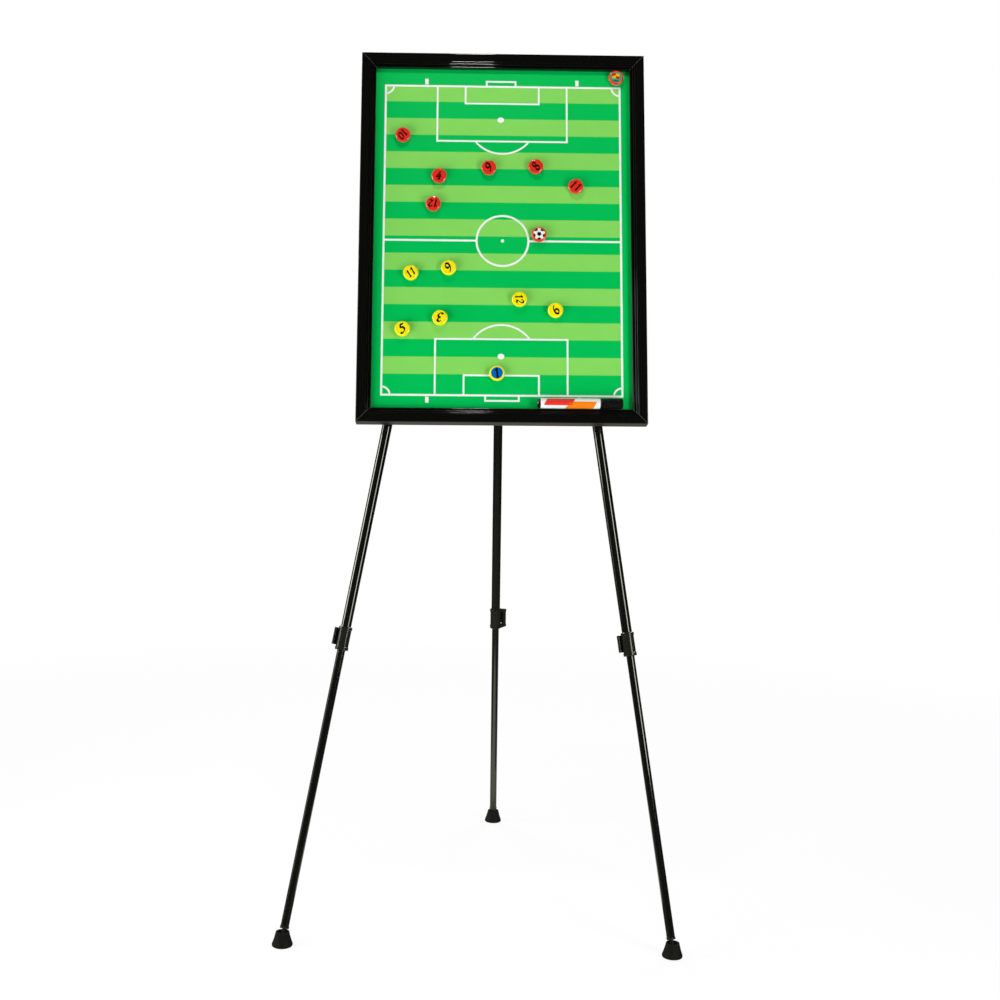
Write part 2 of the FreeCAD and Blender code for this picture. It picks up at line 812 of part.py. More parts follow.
def swivel_foot():
    """Rubber cone on the floor with a socket for the ball and a mouth that lets the leg tilt."""
    socket = ball_radius + running_gap
    throat_radius = sqrt(socket ** 2 - foot_throat_rise ** 2)
    throat = (throat_radius, ball_height + foot_throat_rise)
    edge_middle = foot_edge * (1 - sqrt(0.5))
    waist_height = (foot_wall + foot_height) / 2
    waist_radius = foot_radius + (foot_top_radius - foot_radius) * (1 - foot_waist_share)
    return turned((0, 0), [
        (foot_radius - foot_edge, 0),
        ((foot_radius - edge_middle, edge_middle), (foot_radius, foot_edge)),
        (foot_radius, foot_wall),
        ((waist_radius, waist_height), (foot_top_radius, foot_height)),
        (foot_mouth_radius, foot_height),
        throat,
        ((socket, ball_height), (0, ball_height - socket)),
    ])


def pen_tail_plug():
    plug = pen_barrel_bore - seat_gap
    return turned((0, 0), [
        (pen_plug_radius - pen_plug_round, 0),
        (pen_plug_radius, pen_plug_round),
        (pen_plug_radius, pen_plug_length),
        (plug, pen_plug_length),
        (plug, pen_plug_length + pen_plug_insert),
        (0, pen_plug_length + pen_plug_insert),
    ])


def pen_barrel():
    """Hollow barrel with a rounded shoulder and the neck that the cap grips."""
    tail = pen_plug_length
    front = tail + pen_barrel_length
    neck = front + pen_neck_length
    nib_hole = pen_nib_radius + seat_gap
    return turned((pen_barrel_bore, tail), [
        (pen_radius - pen_shoulder / 2, tail),
        (pen_radius, tail + pen_shoulder / 2),
        (pen_radius, front - pen_shoulder),
        (pen_radius - pen_shoulder, front),
        (pen_neck_radius, front),
        (pen_neck_radius, neck - pen_shoulder),
        (pen_neck_radius - pen_shoulder, neck),
        (nib_hole, neck),
        (nib_hole, front - pen_front_wall),
        (pen_barrel_bore, front - pen_front_wall),
    ])


def pen_nib():
    """Felt rod with a bullet tip."""
    start = pen_plug_length + pen_barrel_length - pen_front_wall
    tip = pen_plug_length + pen_barrel_length + pen_neck_length + pen_nib_reach
    across, rise = dome_middle(pen_nib_radius, pen_nib_tip)
    return turned((0, start), [
        (pen_nib_radius, start),
        (pen_nib_radius, tip - pen_nib_tip),
        ((across, tip - pen_nib_tip + rise), (0, tip)),
    ])


def pen_cap():
    """Cap with a gripping bore, a nose over the nib and flutes round the outside."""
    mouth = pen_plug_length + pen_barrel_length
    end = mouth + pen_cap_length
    grip = pen_neck_radius + running_gap
    seat = mouth + pen_neck_length + pen_shoulder
    body = turned((grip, mouth), [
        (pen_radius - pen_shoulder, mouth),
        (pen_radius, mouth + pen_shoulder),
        (pen_radius, end - pen_cap_round),
        (pen_radius - pen_cap_round, end),
        (0, end),
        (0, seat + pen_cap_nose_depth),
        (pen_cap_nose_radius, seat + pen_cap_nose_depth),
        (pen_cap_nose_radius, seat),
        (grip, seat),
    ])
    flutes = []
    spread = pen_radius + pen_flute_radius - pen_flute_bite
    for index in range(pen_flute_count):
        angle = radians(FULL_TURN * index / pen_flute_count)
        base = Vector(spread * cos(angle), spread * sin(angle), mouth + pen_flute_margin)
        flutes.append(cylinder(pen_flute_radius, pen_cap_length, base))
    return body.cut(flutes)


def magnet():
    """Cap with a brim, printed insert in its face and ferrite disc in its back. The face looks along z."""
    rim = magnet_radius - magnet_draft
    land = rim - magnet_rim_round
    face = land - magnet_rim_land
    bend = magnet_rim_round * (1 - sqrt(0.5))
    floor = magnet_height - magnet_face_depth
    cap = turned((magnet_pocket_radius, 0), [
        (magnet_base_radius - magnet_foot / 2, 0),
        (magnet_base_radius, magnet_foot),
        (magnet_radius, magnet_height - magnet_brim),
        (rim, magnet_height - magnet_rim_round),
        ((rim - bend, magnet_height - bend), (land, magnet_height)),
        (face, magnet_height),
        (face, floor),
        (0, floor),
        (0, magnet_pocket_depth),
        (magnet_pocket_radius, magnet_pocket_depth),
    ])
    insert = cylinder(face - seat_gap, magnet_insert_thickness, Vector(0, 0, floor))
    ferrite_height = magnet_pocket_depth - seat_gap
    ferrite = cylinder(magnet_pocket_radius - seat_gap, ferrite_height, Vector(0, 0, seat_gap))
    return Part.makeCompound([cap, insert, ferrite])


def board_frame(across, back):
    """Leaning frame of the board for a place of its bottom front edge on the floor plan."""
    turn = Rotation(X_AXIS, -lean_angle).multiply(Rotation(Y_AXIS, -side_tilt))
    return Placement(Vector(across, back, board_bottom_height), turn)


def leg_frames(board):
    """Frame of each leg, with its origin on the hinge and -z down the leg."""
    left = Placement(Vector(-fork_spread, leg_setback, pivot_rise), Rotation(Y_AXIS, left_splay_angle))
    right = Placement(Vector(fork_spread, leg_setback, pivot_rise), Rotation(Y_AXIS, -right_splay_angle))
    rear = Placement(Vector(0, rear_setback, rear_pivot_rise), Rotation(X_AXIS, rear_stop))
    return {"left": board.multiply(left), "right": board.multiply(right), "rear": board.multiply(rear)}


def leg_length(frame):
    """Length from the hinge to the ball, so that the foot stands on the floor."""
    down = frame.Rotation.multVec(-Z_AXIS)
    return (frame.Base.z - ball_height) / -down.z


def lower_length(legs):
    """Length of the three like inner tubes, which leaves the longest leg its overlap above the collar."""
    longest = max(leg_length(frame) for frame in legs.values())
    return longest - stud_flange_top - collar_top + tube_overlap


def foot_ball(frame):
    return frame.multVec(Vector(0, 0, -leg_length(frame)))


def centred_board_frame():
    """Moves the board so that the box round the three feet is centred on the origin."""
    trial = board_frame(0, 0)
    feet = [foot_ball(frame) for frame in leg_frames(trial).values()]
    across = [foot.x for foot in feet]
    back = [foot.y for foot in feet]
    return board_frame(-(min(across) + max(across)) / 2, -(min(back) + max(back)) / 2)


def magnet_place(shares):
    """Middle of a magnet's back, in the leaning frame."""
    room = magnet_radius + magnet_margin
    across = shares[0] * (opening_half_width - room)
    up = board_height / 2 + shares[1] * (opening_half_height - room)
    return Vector(across, sheet_setback - magnet_lift, up)


def pen_place():
    """Middle of the pen's tail, with the pen along +x in the corner of the rail and the sheet."""
    start = opening_half_width - pen_right_gap - pen_length
    return Vector(start, sheet_setback - pen_radius - rest_gap, frame_face + pen_radius + rest_gap)


def board_pieces():
    """Pieces of the board, the crown, the pen and the magnets, in the leaning frame."""
    core_front = sheet_setback + sheet_thickness
    pieces = board_frame_sides()
    pieces["pitch_sheet"] = panel_layer(sheet_setback, sheet_thickness)
    pieces["board_core"] = panel_layer(core_front, core_thickness)
    pieces["back_sheet"] = panel_layer(core_front + core_thickness, back_thickness)
    pieces["panel_clips"] = panel_clips()
    pieces["board_fasteners"] = Part.makeCompound(screws() + all_wedges())
    pieces["hanger_bracket"] = hanger()
    pieces["back_bumpers"] = bumpers()
    pieces["crown"] = crown()
    pieces["hinge_pins"] = hinge_rivets()
    pen = Placement(pen_place(), Rotation(Y_AXIS, 90))
    for name, make in (("pen_barrel", pen_barrel), ("pen_tail_plug", pen_tail_plug),
                       ("pen_nib", pen_nib), ("pen_cap", pen_cap)):
        pieces[name] = moved(make(), pen)
    for name, shares in magnet_place_shares.items():
        pieces[name] = moved(magnet(), Placement(magnet_place(shares), Rotation(X_AXIS, 90)))
    return pieces


def clamp_turn(side):
    """Turn of a clamp about its leg. The rear ears point right, the front ones back and their grips left."""
    return FULL_TURN / 2 if side == "rear" else -lever_arm_sweep


def leg_pieces(side, frame, tube_length):
    """Pieces of one leg in place. The rear leg's rivet lies across the board."""
    rear = side == "rear"
    knuckle_turn = Placement(Vector(), Rotation(Z_AXIS, 90 if rear else 0))
    clamp = Placement(Vector(0, 0, -collar_top), Rotation(Z_AXIS, clamp_turn(side)))
    length = leg_length(frame)
    inner = Placement(Vector(0, 0, -length + stud_flange_top), Rotation())
    ball = Placement(Vector(0, 0, -length), Rotation())
    floor = foot_ball(frame)
    floor.z = 0
    return {
        side + "_knuckle": moved(knuckle(), frame.multiply(knuckle_turn)),
        side + "_upper_tube": moved(upper_tube(), frame),
        side + "_clamp_collar": moved(clamp_collar(), frame.multiply(clamp)),
        side + "_clamp_lever": moved(clamp_lever(), frame.multiply(clamp)),
        side + "_lever_pin": moved(lever_pin(), frame.multiply(clamp)),
        side + "_lower_tube": moved(lower_tube(tube_length), frame.multiply(inner)),
        side + "_glide_bush": moved(glide_bush(tube_length), frame.multiply(inner)),
        side + "_ball_stud": moved(ball_stud(), frame.multiply(ball)),
        side + "_foot": moved(swivel_foot(), Placement(floor, Rotation())),
    }


def all_pieces():
    board = centred_board_frame()
    pieces = {name: moved(shape, board) for name, shape in board_pieces().items()}
    legs = leg_frames(board)
    for side, frame in legs.items():
        pieces.update(leg_pieces(side, frame, lower_length(legs)))
    return pieces


os.makedirs("parts", exist_ok=True)
for node, solid in all_pieces().items():
    solid.exportStep("parts/" + node + ".step")
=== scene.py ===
import json
from math import asin, cos, degrees, pi, radians, sin

import bmesh
import bpy
from mathutils import Matrix, Vector


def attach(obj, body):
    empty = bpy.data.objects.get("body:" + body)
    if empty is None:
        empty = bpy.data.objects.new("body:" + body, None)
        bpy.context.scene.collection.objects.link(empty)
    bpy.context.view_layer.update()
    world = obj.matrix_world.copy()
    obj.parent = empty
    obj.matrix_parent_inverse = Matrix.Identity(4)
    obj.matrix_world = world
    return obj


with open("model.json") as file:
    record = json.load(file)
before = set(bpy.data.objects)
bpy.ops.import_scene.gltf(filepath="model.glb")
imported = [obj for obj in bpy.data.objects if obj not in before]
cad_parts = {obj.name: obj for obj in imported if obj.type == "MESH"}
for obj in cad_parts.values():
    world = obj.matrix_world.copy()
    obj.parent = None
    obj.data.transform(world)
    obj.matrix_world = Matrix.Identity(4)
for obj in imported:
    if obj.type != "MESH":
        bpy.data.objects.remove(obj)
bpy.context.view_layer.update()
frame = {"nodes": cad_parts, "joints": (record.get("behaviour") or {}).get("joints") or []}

# Rubber feet. Three cones of soft black rubber stand on the floor and turn on the ball studs.
# The mould leaves a dull skin with fine pits, its edges rub paler, and dust lies on what looks up.
MM = 0.001
SIDES = ("left", "right", "rear")
FOOT_BLACK = (0.0062, 0.0062, 0.0046, 1)
FOOT_RUBBED = (0.024, 0.023, 0.019, 1)
NOISE_SPAN = (0.3, 0.7)


def place(tree, kind, inputs=None, **settings):
    """Adds a node, with its settings, and sets or links its inputs."""
    node = tree.nodes.new(kind)
    for name, value in settings.items():
        setattr(node, name, value)
    for name, value in (inputs or {}).items():
        if isinstance(value, bpy.types.NodeSocket):
            tree.links.new(value, node.inputs[name])
        else:
            node.inputs[name].default_value = value
    return node


def maths(tree, operation, first, second=0.0):
    return place(tree, "ShaderNodeMath", {0: first, 1: second}, operation=operation).outputs[0]


def spread(tree, value, low, high, to_low, to_high):
    """Carries a value from one range over to another, and stops at its ends."""
    inputs = {0: value, 1: low, 2: high, 3: to_low, 4: to_high}
    return place(tree, "ShaderNodeMapRange", inputs).outputs[0]


def mixed(tree, share, first, second):
    return place(tree, "ShaderNodeMix", {0: share, 6: first, 7: second}, data_type="RGBA").outputs[2]


def own_place(tree):
    """Place of a point in its piece, which stays with the piece when it moves."""
    return place(tree, "ShaderNodeTexCoord").outputs["Object"]


def noise(tree, scale, detail, vector=None):
    inputs = {"Vector": vector or own_place(tree), "Scale": scale, "Detail": detail}
    return place(tree, "ShaderNodeTexNoise", inputs).outputs[0]


def new_group(name, inputs, outputs):
    """Starts a shader node group and returns it with the sockets inside it."""
    group = bpy.data.node_groups.new(name, "ShaderNodeTree")
    for socket, kind in inputs.items():
        group.interface.new_socket(socket, in_out="INPUT", socket_type="NodeSocket" + kind)
    for socket in outputs:
        group.interface.new_socket(socket, in_out="OUTPUT", socket_type="NodeSocketFloat")
    return group, group.nodes.new("NodeGroupInput").outputs, group.nodes.new("NodeGroupOutput").inputs


def effect(tree, group, **inputs):
    """Places a group with its own values and returns its outputs."""
    values = {name.replace("_", " ").title(): value for name, value in inputs.items()}
    return place(tree, "ShaderNodeGroup", values, node_tree=group).outputs


def new_finish(name):
    material = bpy.data.materials.new(name)
    material.use_nodes = True
    return material, material.node_tree, material.node_tree.nodes["Principled BSDF"]


def feed(tree, shader, **sockets):
    for name, value in sockets.items():
        tree.links.new(value, shader.inputs[name.replace("_", " ").title()])


def raised(tree, height, distance):
    """Normal of a surface that a height from 0 to 1 lifts by up to a distance."""
    return place(tree, "ShaderNodeBump", {"Height": height, "Distance": distance}).outputs[0]


def dress(material, *nodes):
    for node in nodes:
        for slot in frame["nodes"][node].material_slots:
            slot.material = material


CLOUD_SHARE = 0.05
moulded_skin, given, gives = new_group("moulded skin", {"Grain": "Float"}, ("Height", "Mottle"))
pits = noise(moulded_skin, given["Grain"], detail=3)
clouds = noise(moulded_skin, maths(moulded_skin, "MULTIPLY", given["Grain"], CLOUD_SHARE), detail=2)
moulded_skin.links.new(pits, gives["Height"])
moulded_skin.links.new(clouds, gives["Mottle"])

SHARP_TURN, SLIGHT_TURN = 0.72, 0.98
RUBBED_PATCHES = 420.0
RUBBED_SPAN = (0.4, 0.62)
RUBBED_LEAST = 0.15
rubbed_edge, given, gives = new_group("rubbed edge", {"Width": "Float"}, ("Mask",))
rounded = place(rubbed_edge, "ShaderNodeBevel", {"Radius": given["Width"]}, samples=4).outputs[0]
facing = place(rubbed_edge, "ShaderNodeNewGeometry").outputs["Normal"]
turn = place(rubbed_edge, "ShaderNodeVectorMath", {0: rounded, 1: facing}, operation="DOT_PRODUCT")
bend = spread(rubbed_edge, turn.outputs["Value"], SHARP_TURN, SLIGHT_TURN, 1.0, 0.0)
patchy = spread(rubbed_edge, noise(rubbed_edge, RUBBED_PATCHES, detail=4), *RUBBED_SPAN, RUBBED_LEAST, 1.0)
rubbed_edge.links.new(maths(rubbed_edge, "MULTIPLY", bend, patchy), gives["Mask"])

DUST = (0.42, 0.41, 0.38, 1)
LYING_SPAN = (0.15, 0.95)
DRIFTS = 170.0
DRIFT_SPAN = (0.38, 0.75)
DRIFT_LEAST = 0.1
settled_dust, given, gives = new_group("settled dust", {"Amount": "Float"}, ("Mask",))
facing = place(settled_dust, "ShaderNodeNewGeometry").outputs["Normal"]
upward = place(settled_dust, "ShaderNodeSeparateXYZ", {0: facing}).outputs[2]
lying = spread(settled_dust, upward, *LYING_SPAN, 0.0, 1.0)
drift = spread(settled_dust, noise(settled_dust, DRIFTS, detail=6), *DRIFT_SPAN, DRIFT_LEAST, 1.0)
fallen = maths(settled_dust, "MULTIPLY", lying, drift)
settled_dust.links.new(maths(settled_dust, "MULTIPLY", fallen, given["Amount"]), gives["Mask"])

MOULDED_EDGE = 0.35
ROUGHNESS_SWING = 0.05


def moulded_finish(name, colour, rubbed, roughness, grain, depth, dust, shine=0.5, sheen=(1, 1, 1, 1)):
    """Moulded rubber or plastic, with the grain's count per metre and its depth in mm."""
    material, tree, shader = new_finish(name)
    shader.inputs["Specular Tint"].default_value = sheen
    shader.inputs["Specular IOR Level"].default_value = shine
    skin = effect(tree, moulded_skin, grain=grain)
    edge = effect(tree, rubbed_edge, width=MOULDED_EDGE * MM)["Mask"]
    fall = effect(tree, settled_dust, amount=dust)["Mask"]
    worn = mixed(tree, edge, colour, rubbed)
    low, high = roughness - ROUGHNESS_SWING, roughness + ROUGHNESS_SWING
    feed(tree, shader,
         base_color=mixed(tree, fall, worn, DUST),
         roughness=spread(tree, skin["Mottle"], *NOISE_SPAN, low, high),
         normal=raised(tree, skin["Height"], depth * MM))
    return material


foot_rubber = moulded_finish("foot_rubber", FOOT_BLACK, FOOT_RUBBED,
                             roughness=0.62, grain=1500.0, depth=0.05, dust=0.05, shine=0.16)
dress(foot_rubber, *(side + "_foot" for side in SIDES))

# Ball studs and glide bushes. Black plastic with a smooth skin: a stud plugs the foot of each inner tube
# and ends in the ball that the foot grips, and a bush at the tube's top runs inside the outer tube.
STUD_BLACK = (0.011, 0.011, 0.010, 1)
STUD_RUBBED = (0.06, 0.06, 0.055, 1)
stud_plastic = moulded_finish("stud_plastic", STUD_BLACK, STUD_RUBBED,
                              roughness=0.34, grain=2600.0, depth=0.01, dust=0.2)
for side in SIDES:
    dress(stud_plastic, side + "_ball_stud", side + "_glide_bush")

# Leg tubes. Drawn steel tube with baked black gloss paint: the paint keeps the faint lines of the drawing,
# and the inner tubes carry fine scratches where the clamps have slid along them.
TUBE_BLACK = (0.0048, 0.0048, 0.0044, 1)
TUBE_SCUFFED = (0.03, 0.03, 0.026, 1)
TUBE_DUST = 0.02
TUBE_LINES = 2600.0
TUBE_LINE_DEPTH = 0.0008
PAINT_SHINE = 0.9
OLIVE_SHEEN = (1.0, 0.99, 0.84, 1)
joints = {joint["name"]: joint for joint in frame["joints"]}


def joint_axis(name):
    return Vector(joints[name]["axis"]).normalized()


SQUEEZE_SHARE = 0.985
SCRATCHES = 1900.0
SCRATCH_SPAN = (0.66, 0.8)
SCRATCHED_PATCHES = 35.0
PATCH_SPAN = (0.5, 0.7)
drawn_lines, given, gives = new_group(
    "drawn lines", {"Axis": "Vector", "Fineness": "Float"}, ("Height", "Scuffs"))
here = own_place(drawn_lines)
along = place(drawn_lines, "ShaderNodeVectorMath", {0: here, 1: given["Axis"]}, operation="DOT_PRODUCT")
run = maths(drawn_lines, "MULTIPLY", along.outputs["Value"], -SQUEEZE_SHARE)
back = place(drawn_lines, "ShaderNodeVectorMath", {0: given["Axis"], "Scale": run}, operation="SCALE")
both = {0: here, 1: back.outputs[0]}
squeezed = place(drawn_lines, "ShaderNodeVectorMath", both, operation="ADD").outputs[0]
lines = noise(drawn_lines, given["Fineness"], detail=4, vector=squeezed)
scratches = noise(drawn_lines, SCRATCHES, detail=2, vector=squeezed)
streaks = spread(drawn_lines, scratches, *SCRATCH_SPAN, 0.0, 1.0)
patches = spread(drawn_lines, noise(drawn_lines, SCRATCHED_PATCHES, detail=2), *PATCH_SPAN, 0.0, 1.0)
drawn_lines.links.new(lines, gives["Height"])
drawn_lines.links.new(maths(drawn_lines, "MULTIPLY", streaks, patches), gives["Scuffs"])


def tube_paint(name, axis, wear, smooth, rough):
    """Gloss paint on a tube, with its lines and scratches along the tube."""
    material, tree, shader = new_finish(name)
    shader.inputs["Specular IOR Level"].default_value = PAINT_SHINE
    shader.inputs["Specular Tint"].default_value = OLIVE_SHEEN
    marks = effect(tree, drawn_lines, axis=axis, fineness=TUBE_LINES)
    fall = effect(tree, settled_dust, amount=TUBE_DUST)["Mask"]
    scratched = mixed(tree, maths(tree, "MULTIPLY", marks["Scuffs"], wear), TUBE_BLACK, TUBE_SCUFFED)
    feed(tree, shader,
         base_color=mixed(tree, fall, scratched, DUST),
         roughness=spread(tree, marks["Height"], *NOISE_SPAN, smooth, rough),
         normal=raised(tree, marks["Height"], TUBE_LINE_DEPTH * MM))
    return material


for side in SIDES:
    axis = joint_axis(side + "_leg_slide")
    dress(tube_paint(side + "_outer_paint", axis, wear=0.15, smooth=0.06, rough=0.1), side + "_upper_tube")
    dress(tube_paint(side + "_inner_paint", axis, wear=0.3, smooth=0.1, rough=0.15), side + "_lower_tube")

# Clamp collars and flip levers. Black nylon with a satin, finely sparked skin: the collar sits on the outer
# tube's end and is split below it, and the lever on its steel pin pinches the split shut.
CLAMP_BLACK = (0.012, 0.012, 0.0092, 1)
CLAMP_RUBBED = (0.026, 0.025, 0.019, 1)
# The levers are the collars' nylon with a darker black, which is painted shade for the shade they sit in.
LEVER_SHADED_BLACK = (0.006, 0.006, 0.0055, 1)
clamp_nylon = moulded_finish("clamp_nylon", CLAMP_BLACK, CLAMP_RUBBED,
                             roughness=0.18, grain=3200.0, depth=0.0006, dust=0.01, sheen=OLIVE_SHEEN)
# Lever finish: the collar nylon darkened as painted shade.
lever_nylon_shaded = moulded_finish("lever_nylon_shaded", LEVER_SHADED_BLACK, CLAMP_RUBBED,
                             roughness=0.34, grain=3200.0, depth=0.0015, dust=0.01, sheen=OLIVE_SHEEN)

PIN_STEEL = (0.16, 0.155, 0.145, 1)
PIN_RUBBED = (0.5, 0.49, 0.46, 1)
PIN_EDGE = 0.3
PIN_GRAIN = 2200.0
PIN_GRAIN_DEPTH = 0.006
PIN_ROUGHNESS = (0.26, 0.42)
pin_steel, tree, shader = new_finish("pin_steel")
edge = effect(tree, rubbed_edge, width=PIN_EDGE * MM)["Mask"]
skin = effect(tree, moulded_skin, grain=PIN_GRAIN)
shader.inputs["Metallic"].default_value = 1.0
feed(tree, shader,
     base_color=mixed(tree, edge, PIN_STEEL, PIN_RUBBED),
     roughness=spread(tree, skin["Mottle"], *NOISE_SPAN, *PIN_ROUGHNESS),
     normal=raised(tree, skin["Height"], PIN_GRAIN_DEPTH * MM))
for side in SIDES:
    dress(clamp_nylon, side + "_clamp_collar")
    dress(lever_nylon_shaded, side + "_clamp_lever")
    dress(pin_steel, side + "_lever_pin")

# Crown and knuckles. One black nylon moulding holds the three legs in its forks, and a knuckle plugged into
# each outer tube turns there on a domed steel rivet; the tongue on top carries the board.
CROWN_BLACK = (0.011, 0.011, 0.010, 1)
CROWN_RUBBED = (0.07, 0.07, 0.065, 1)
crown_nylon = moulded_finish("crown_nylon", CROWN_BLACK, CROWN_RUBBED,
                             roughness=0.46, grain=1800.0, depth=0.03, dust=0.2)
dress(crown_nylon, "crown", *(side + "_knuckle" for side in SIDES))
dress(pin_steel, "hinge_pins")

# Core and back of the board. Pressed fibreboard fills the frame behind the steel sheet, and thin hardboard
# closes it with its brown side out, which shows the weave of the press's screen.
FIBRE = (0.30, 0.205, 0.115, 1)
FIBRE_DARK = (0.17, 0.105, 0.055, 1)
HARDBOARD = (0.15, 0.085, 0.042, 1)
HARDBOARD_DARK = (0.075, 0.04, 0.02, 1)
FIBRES, FIBRE_LEAST = 700.0, 0.3
CLUMPS, CLUMP_LEAST = 45.0, 0.5
FIBRE_ROUGHNESS = (0.7, 0.85)
SCREEN_MESH = 1.4
CORE_RELIEF = 0.01
BACK_RELIEF = 0.05
up = joint_axis("board_lift")
out = joint_axis("pen_lift")
across = up.cross(out).normalized()


def place_along(tree, axis):
    """Place of a point in its piece along an axis, in metres."""
    product = place(tree, "ShaderNodeVectorMath", {0: own_place(tree), 1: axis}, operation="DOT_PRODUCT")
    return product.outputs["Value"]


def pressed_fibre(name, colour, dark, relief):
    """Pressed wood fibre with the print of a woven screen, whose relief is in mm."""
    material, tree, shader = new_finish(name)
    fibres = noise(tree, FIBRES, detail=6)
    clumps = noise(tree, CLUMPS, detail=4)
    fine = spread(tree, fibres, *NOISE_SPAN, FIBRE_LEAST, 1.0)
    coarse = spread(tree, clumps, *NOISE_SPAN, CLUMP_LEAST, 1.0)
    ribs = []
    for axis in (across, up):
        turns = maths(tree, "MULTIPLY", place_along(tree, axis), 2 * pi / (SCREEN_MESH * MM))
        ribs.append(maths(tree, "SINE", turns))
    screen = maths(tree, "MAXIMUM", *ribs)
    feed(tree, shader,
         base_color=mixed(tree, maths(tree, "MULTIPLY", fine, coarse), dark, colour),
         roughness=spread(tree, clumps, *NOISE_SPAN, *FIBRE_ROUGHNESS),
         normal=raised(tree, maths(tree, "ADD", screen, fibres), relief * MM))
    return material


dress(pressed_fibre("core_fibre", FIBRE, FIBRE_DARK, CORE_RELIEF), "board_core")
dress(pressed_fibre("back_hardboard", HARDBOARD, HARDBOARD_DARK, BACK_RELIEF), "back_sheet")

# Pitch sheet. Thin steel that holds the magnets, printed in satin inks: eighteen mown stripes in two
# greens, with a margin of the darker one all round that runs under the frame.
GRASS_DARK = (0.0, 0.500, 0.088, 1)
GRASS_LIGHT = (0.232, 0.672, 0.112, 1)
GRASS_DEEP = (0.0, 0.30, 0.05, 1)
PITCH_TOP = 550.4
PITCH_HALF_WIDTH = 186.7
STRIPE_HEIGHT = 27.8
STRIPE_COUNT = 18
BLOTCHES, BLOTCH_SHARE = 26.0, 0.05
SHEET_GRAIN = 1300.0
SHEET_GRAIN_DEPTH = 0.004
SHEET_ROUGHNESS = (0.42, 0.52)
SHEET_SHINE = 0.05


def reach(node, direction):
    """Lowest and highest place of a CAD node along a direction."""
    places = [vertex.co.dot(direction) for vertex in frame["nodes"][node].data.vertices]
    return min(places), max(places)


board_middle = sum(reach("pitch_sheet", across)) / 2
board_foot = reach("frame_bottom_rail", up)[0]
sheet_face = reach("pitch_sheet", out)[1]
pitch_print, tree, shader = new_finish("pitch_print")
under_top = maths(tree, "SUBTRACT", board_foot + PITCH_TOP * MM, place_along(tree, up))
stripe = maths(tree, "DIVIDE", under_top, STRIPE_HEIGHT * MM)
odd = maths(tree, "PINGPONG", maths(tree, "FLOOR", stripe), 1.0)
off_middle = maths(tree, "ABSOLUTE", maths(tree, "SUBTRACT", place_along(tree, across), board_middle))
inside = maths(tree, "LESS_THAN", off_middle, PITCH_HALF_WIDTH * MM)
below = maths(tree, "GREATER_THAN", stripe, 0.0)
above = maths(tree, "LESS_THAN", stripe, float(STRIPE_COUNT))
on_pitch = maths(tree, "MULTIPLY", maths(tree, "MULTIPLY", inside, below), above)
light_stripe = maths(tree, "MULTIPLY", maths(tree, "SUBTRACT", 1.0, odd), on_pitch)
greens = mixed(tree, light_stripe, GRASS_DARK, GRASS_LIGHT)
blotch = spread(tree, noise(tree, BLOTCHES, detail=5), *NOISE_SPAN, 0.0, BLOTCH_SHARE)
skin = effect(tree, moulded_skin, grain=SHEET_GRAIN)
shader.inputs["Specular IOR Level"].default_value = SHEET_SHINE
feed(tree, shader,
     base_color=mixed(tree, blotch, greens, GRASS_DEEP),
     roughness=spread(tree, skin["Mottle"], *NOISE_SPAN, *SHEET_ROUGHNESS),
     normal=raised(tree, skin["Height"], SHEET_GRAIN_DEPTH * MM))
dress(pitch_print, "pitch_sheet")

# Pitch lines. Thick white screen ink laid over the greens in one pass: touch lines, halfway line, areas,
# arcs, spots and goals. The two ends aren't drawn alike, and differ by a few millimetres.
INK_WHITE = (0.90, 0.90, 0.88, 1)
INK_LIFT = 0.09
INK_GRAIN = 1500.0
INK_GRAIN_DEPTH = 0.004
INK_SWING = 0.12
THIN_SHARE = 0.82
UNEVEN_SPAN = (0.35, 0.7)
UNEVEN_SHARE = 0.35
OUTER_LINE = 3.1
INNER_LINE = 2.8
HALFWAY = 293.2
CIRCLE_RADIUS = 40.8
MIDDLE_SPOT_RADIUS = 2.6
PENALTY_HALF_WIDTH = 103.0
PENALTY_ARC_DEPTH = 58.1
PENALTY_ARC_RADIUS = 54.3
GOAL_AREA_HALF_WIDTH = 58.4
AREA_SHIFT = -1.2
GOAL_DEPTH = 8.4
SPOT_RADII = (5.2, 4.4)
CORNER_RADIUS = 13.0
MARK_WIDTH = 5.3
MARK_HEIGHT = 9.6
MARK_GAP = 1.0
CIRCLE_STEPS, BOW_STEPS, CORNER_STEPS = 96, 40, 16
MIDDLE_SPOT_STEPS, SPOT_STEPS = 24, 28
TOP_END = {"goal_line": 549.1, "inward": -1, "penalty_depth": 91.7, "goal_area_depth": 28.6,
           "spot": (-3.5, 56.0), "goal_middle": -3.0, "goal_half_width": 23.0, "marks": (-121.6, 118.4)}
BOTTOM_END = {"goal_line": 44.6, "inward": 1, "penalty_depth": 89.5, "goal_area_depth": 31.8,
              "spot": (-1.8, 62.0), "goal_middle": 0.0, "goal_half_width": 26.0, "marks": (-116.0, 120.0)}


def on_sheet(x, y, height):
    """Place in the scene of a point on the sheet, from the middle of the board's bottom edge, in mm."""
    return across * (board_middle + x * MM) + up * (board_foot + y * MM) + out * (sheet_face + height * MM)


def even_edges(points, half, closed=False):
    """Both edges of a line of even width, with mitred corners."""
    left, right = [], []
    last = len(points) - 1
    for i, point in enumerate(points):
        before = point - points[i - 1] if closed or i > 0 else points[1] - point
        after = points[(i + 1) % len(points)] - point if closed or i < last else point - points[i - 1]
        before, after = before.normalized(), after.normalized()
        normals = [Vector((-step.y, step.x)) for step in (before, after)]
        offset = (normals[0] + normals[1]) * (half / (1 + normals[0].dot(normals[1])))
        left.append(point + offset)
        right.append(point - offset)
    return left, right


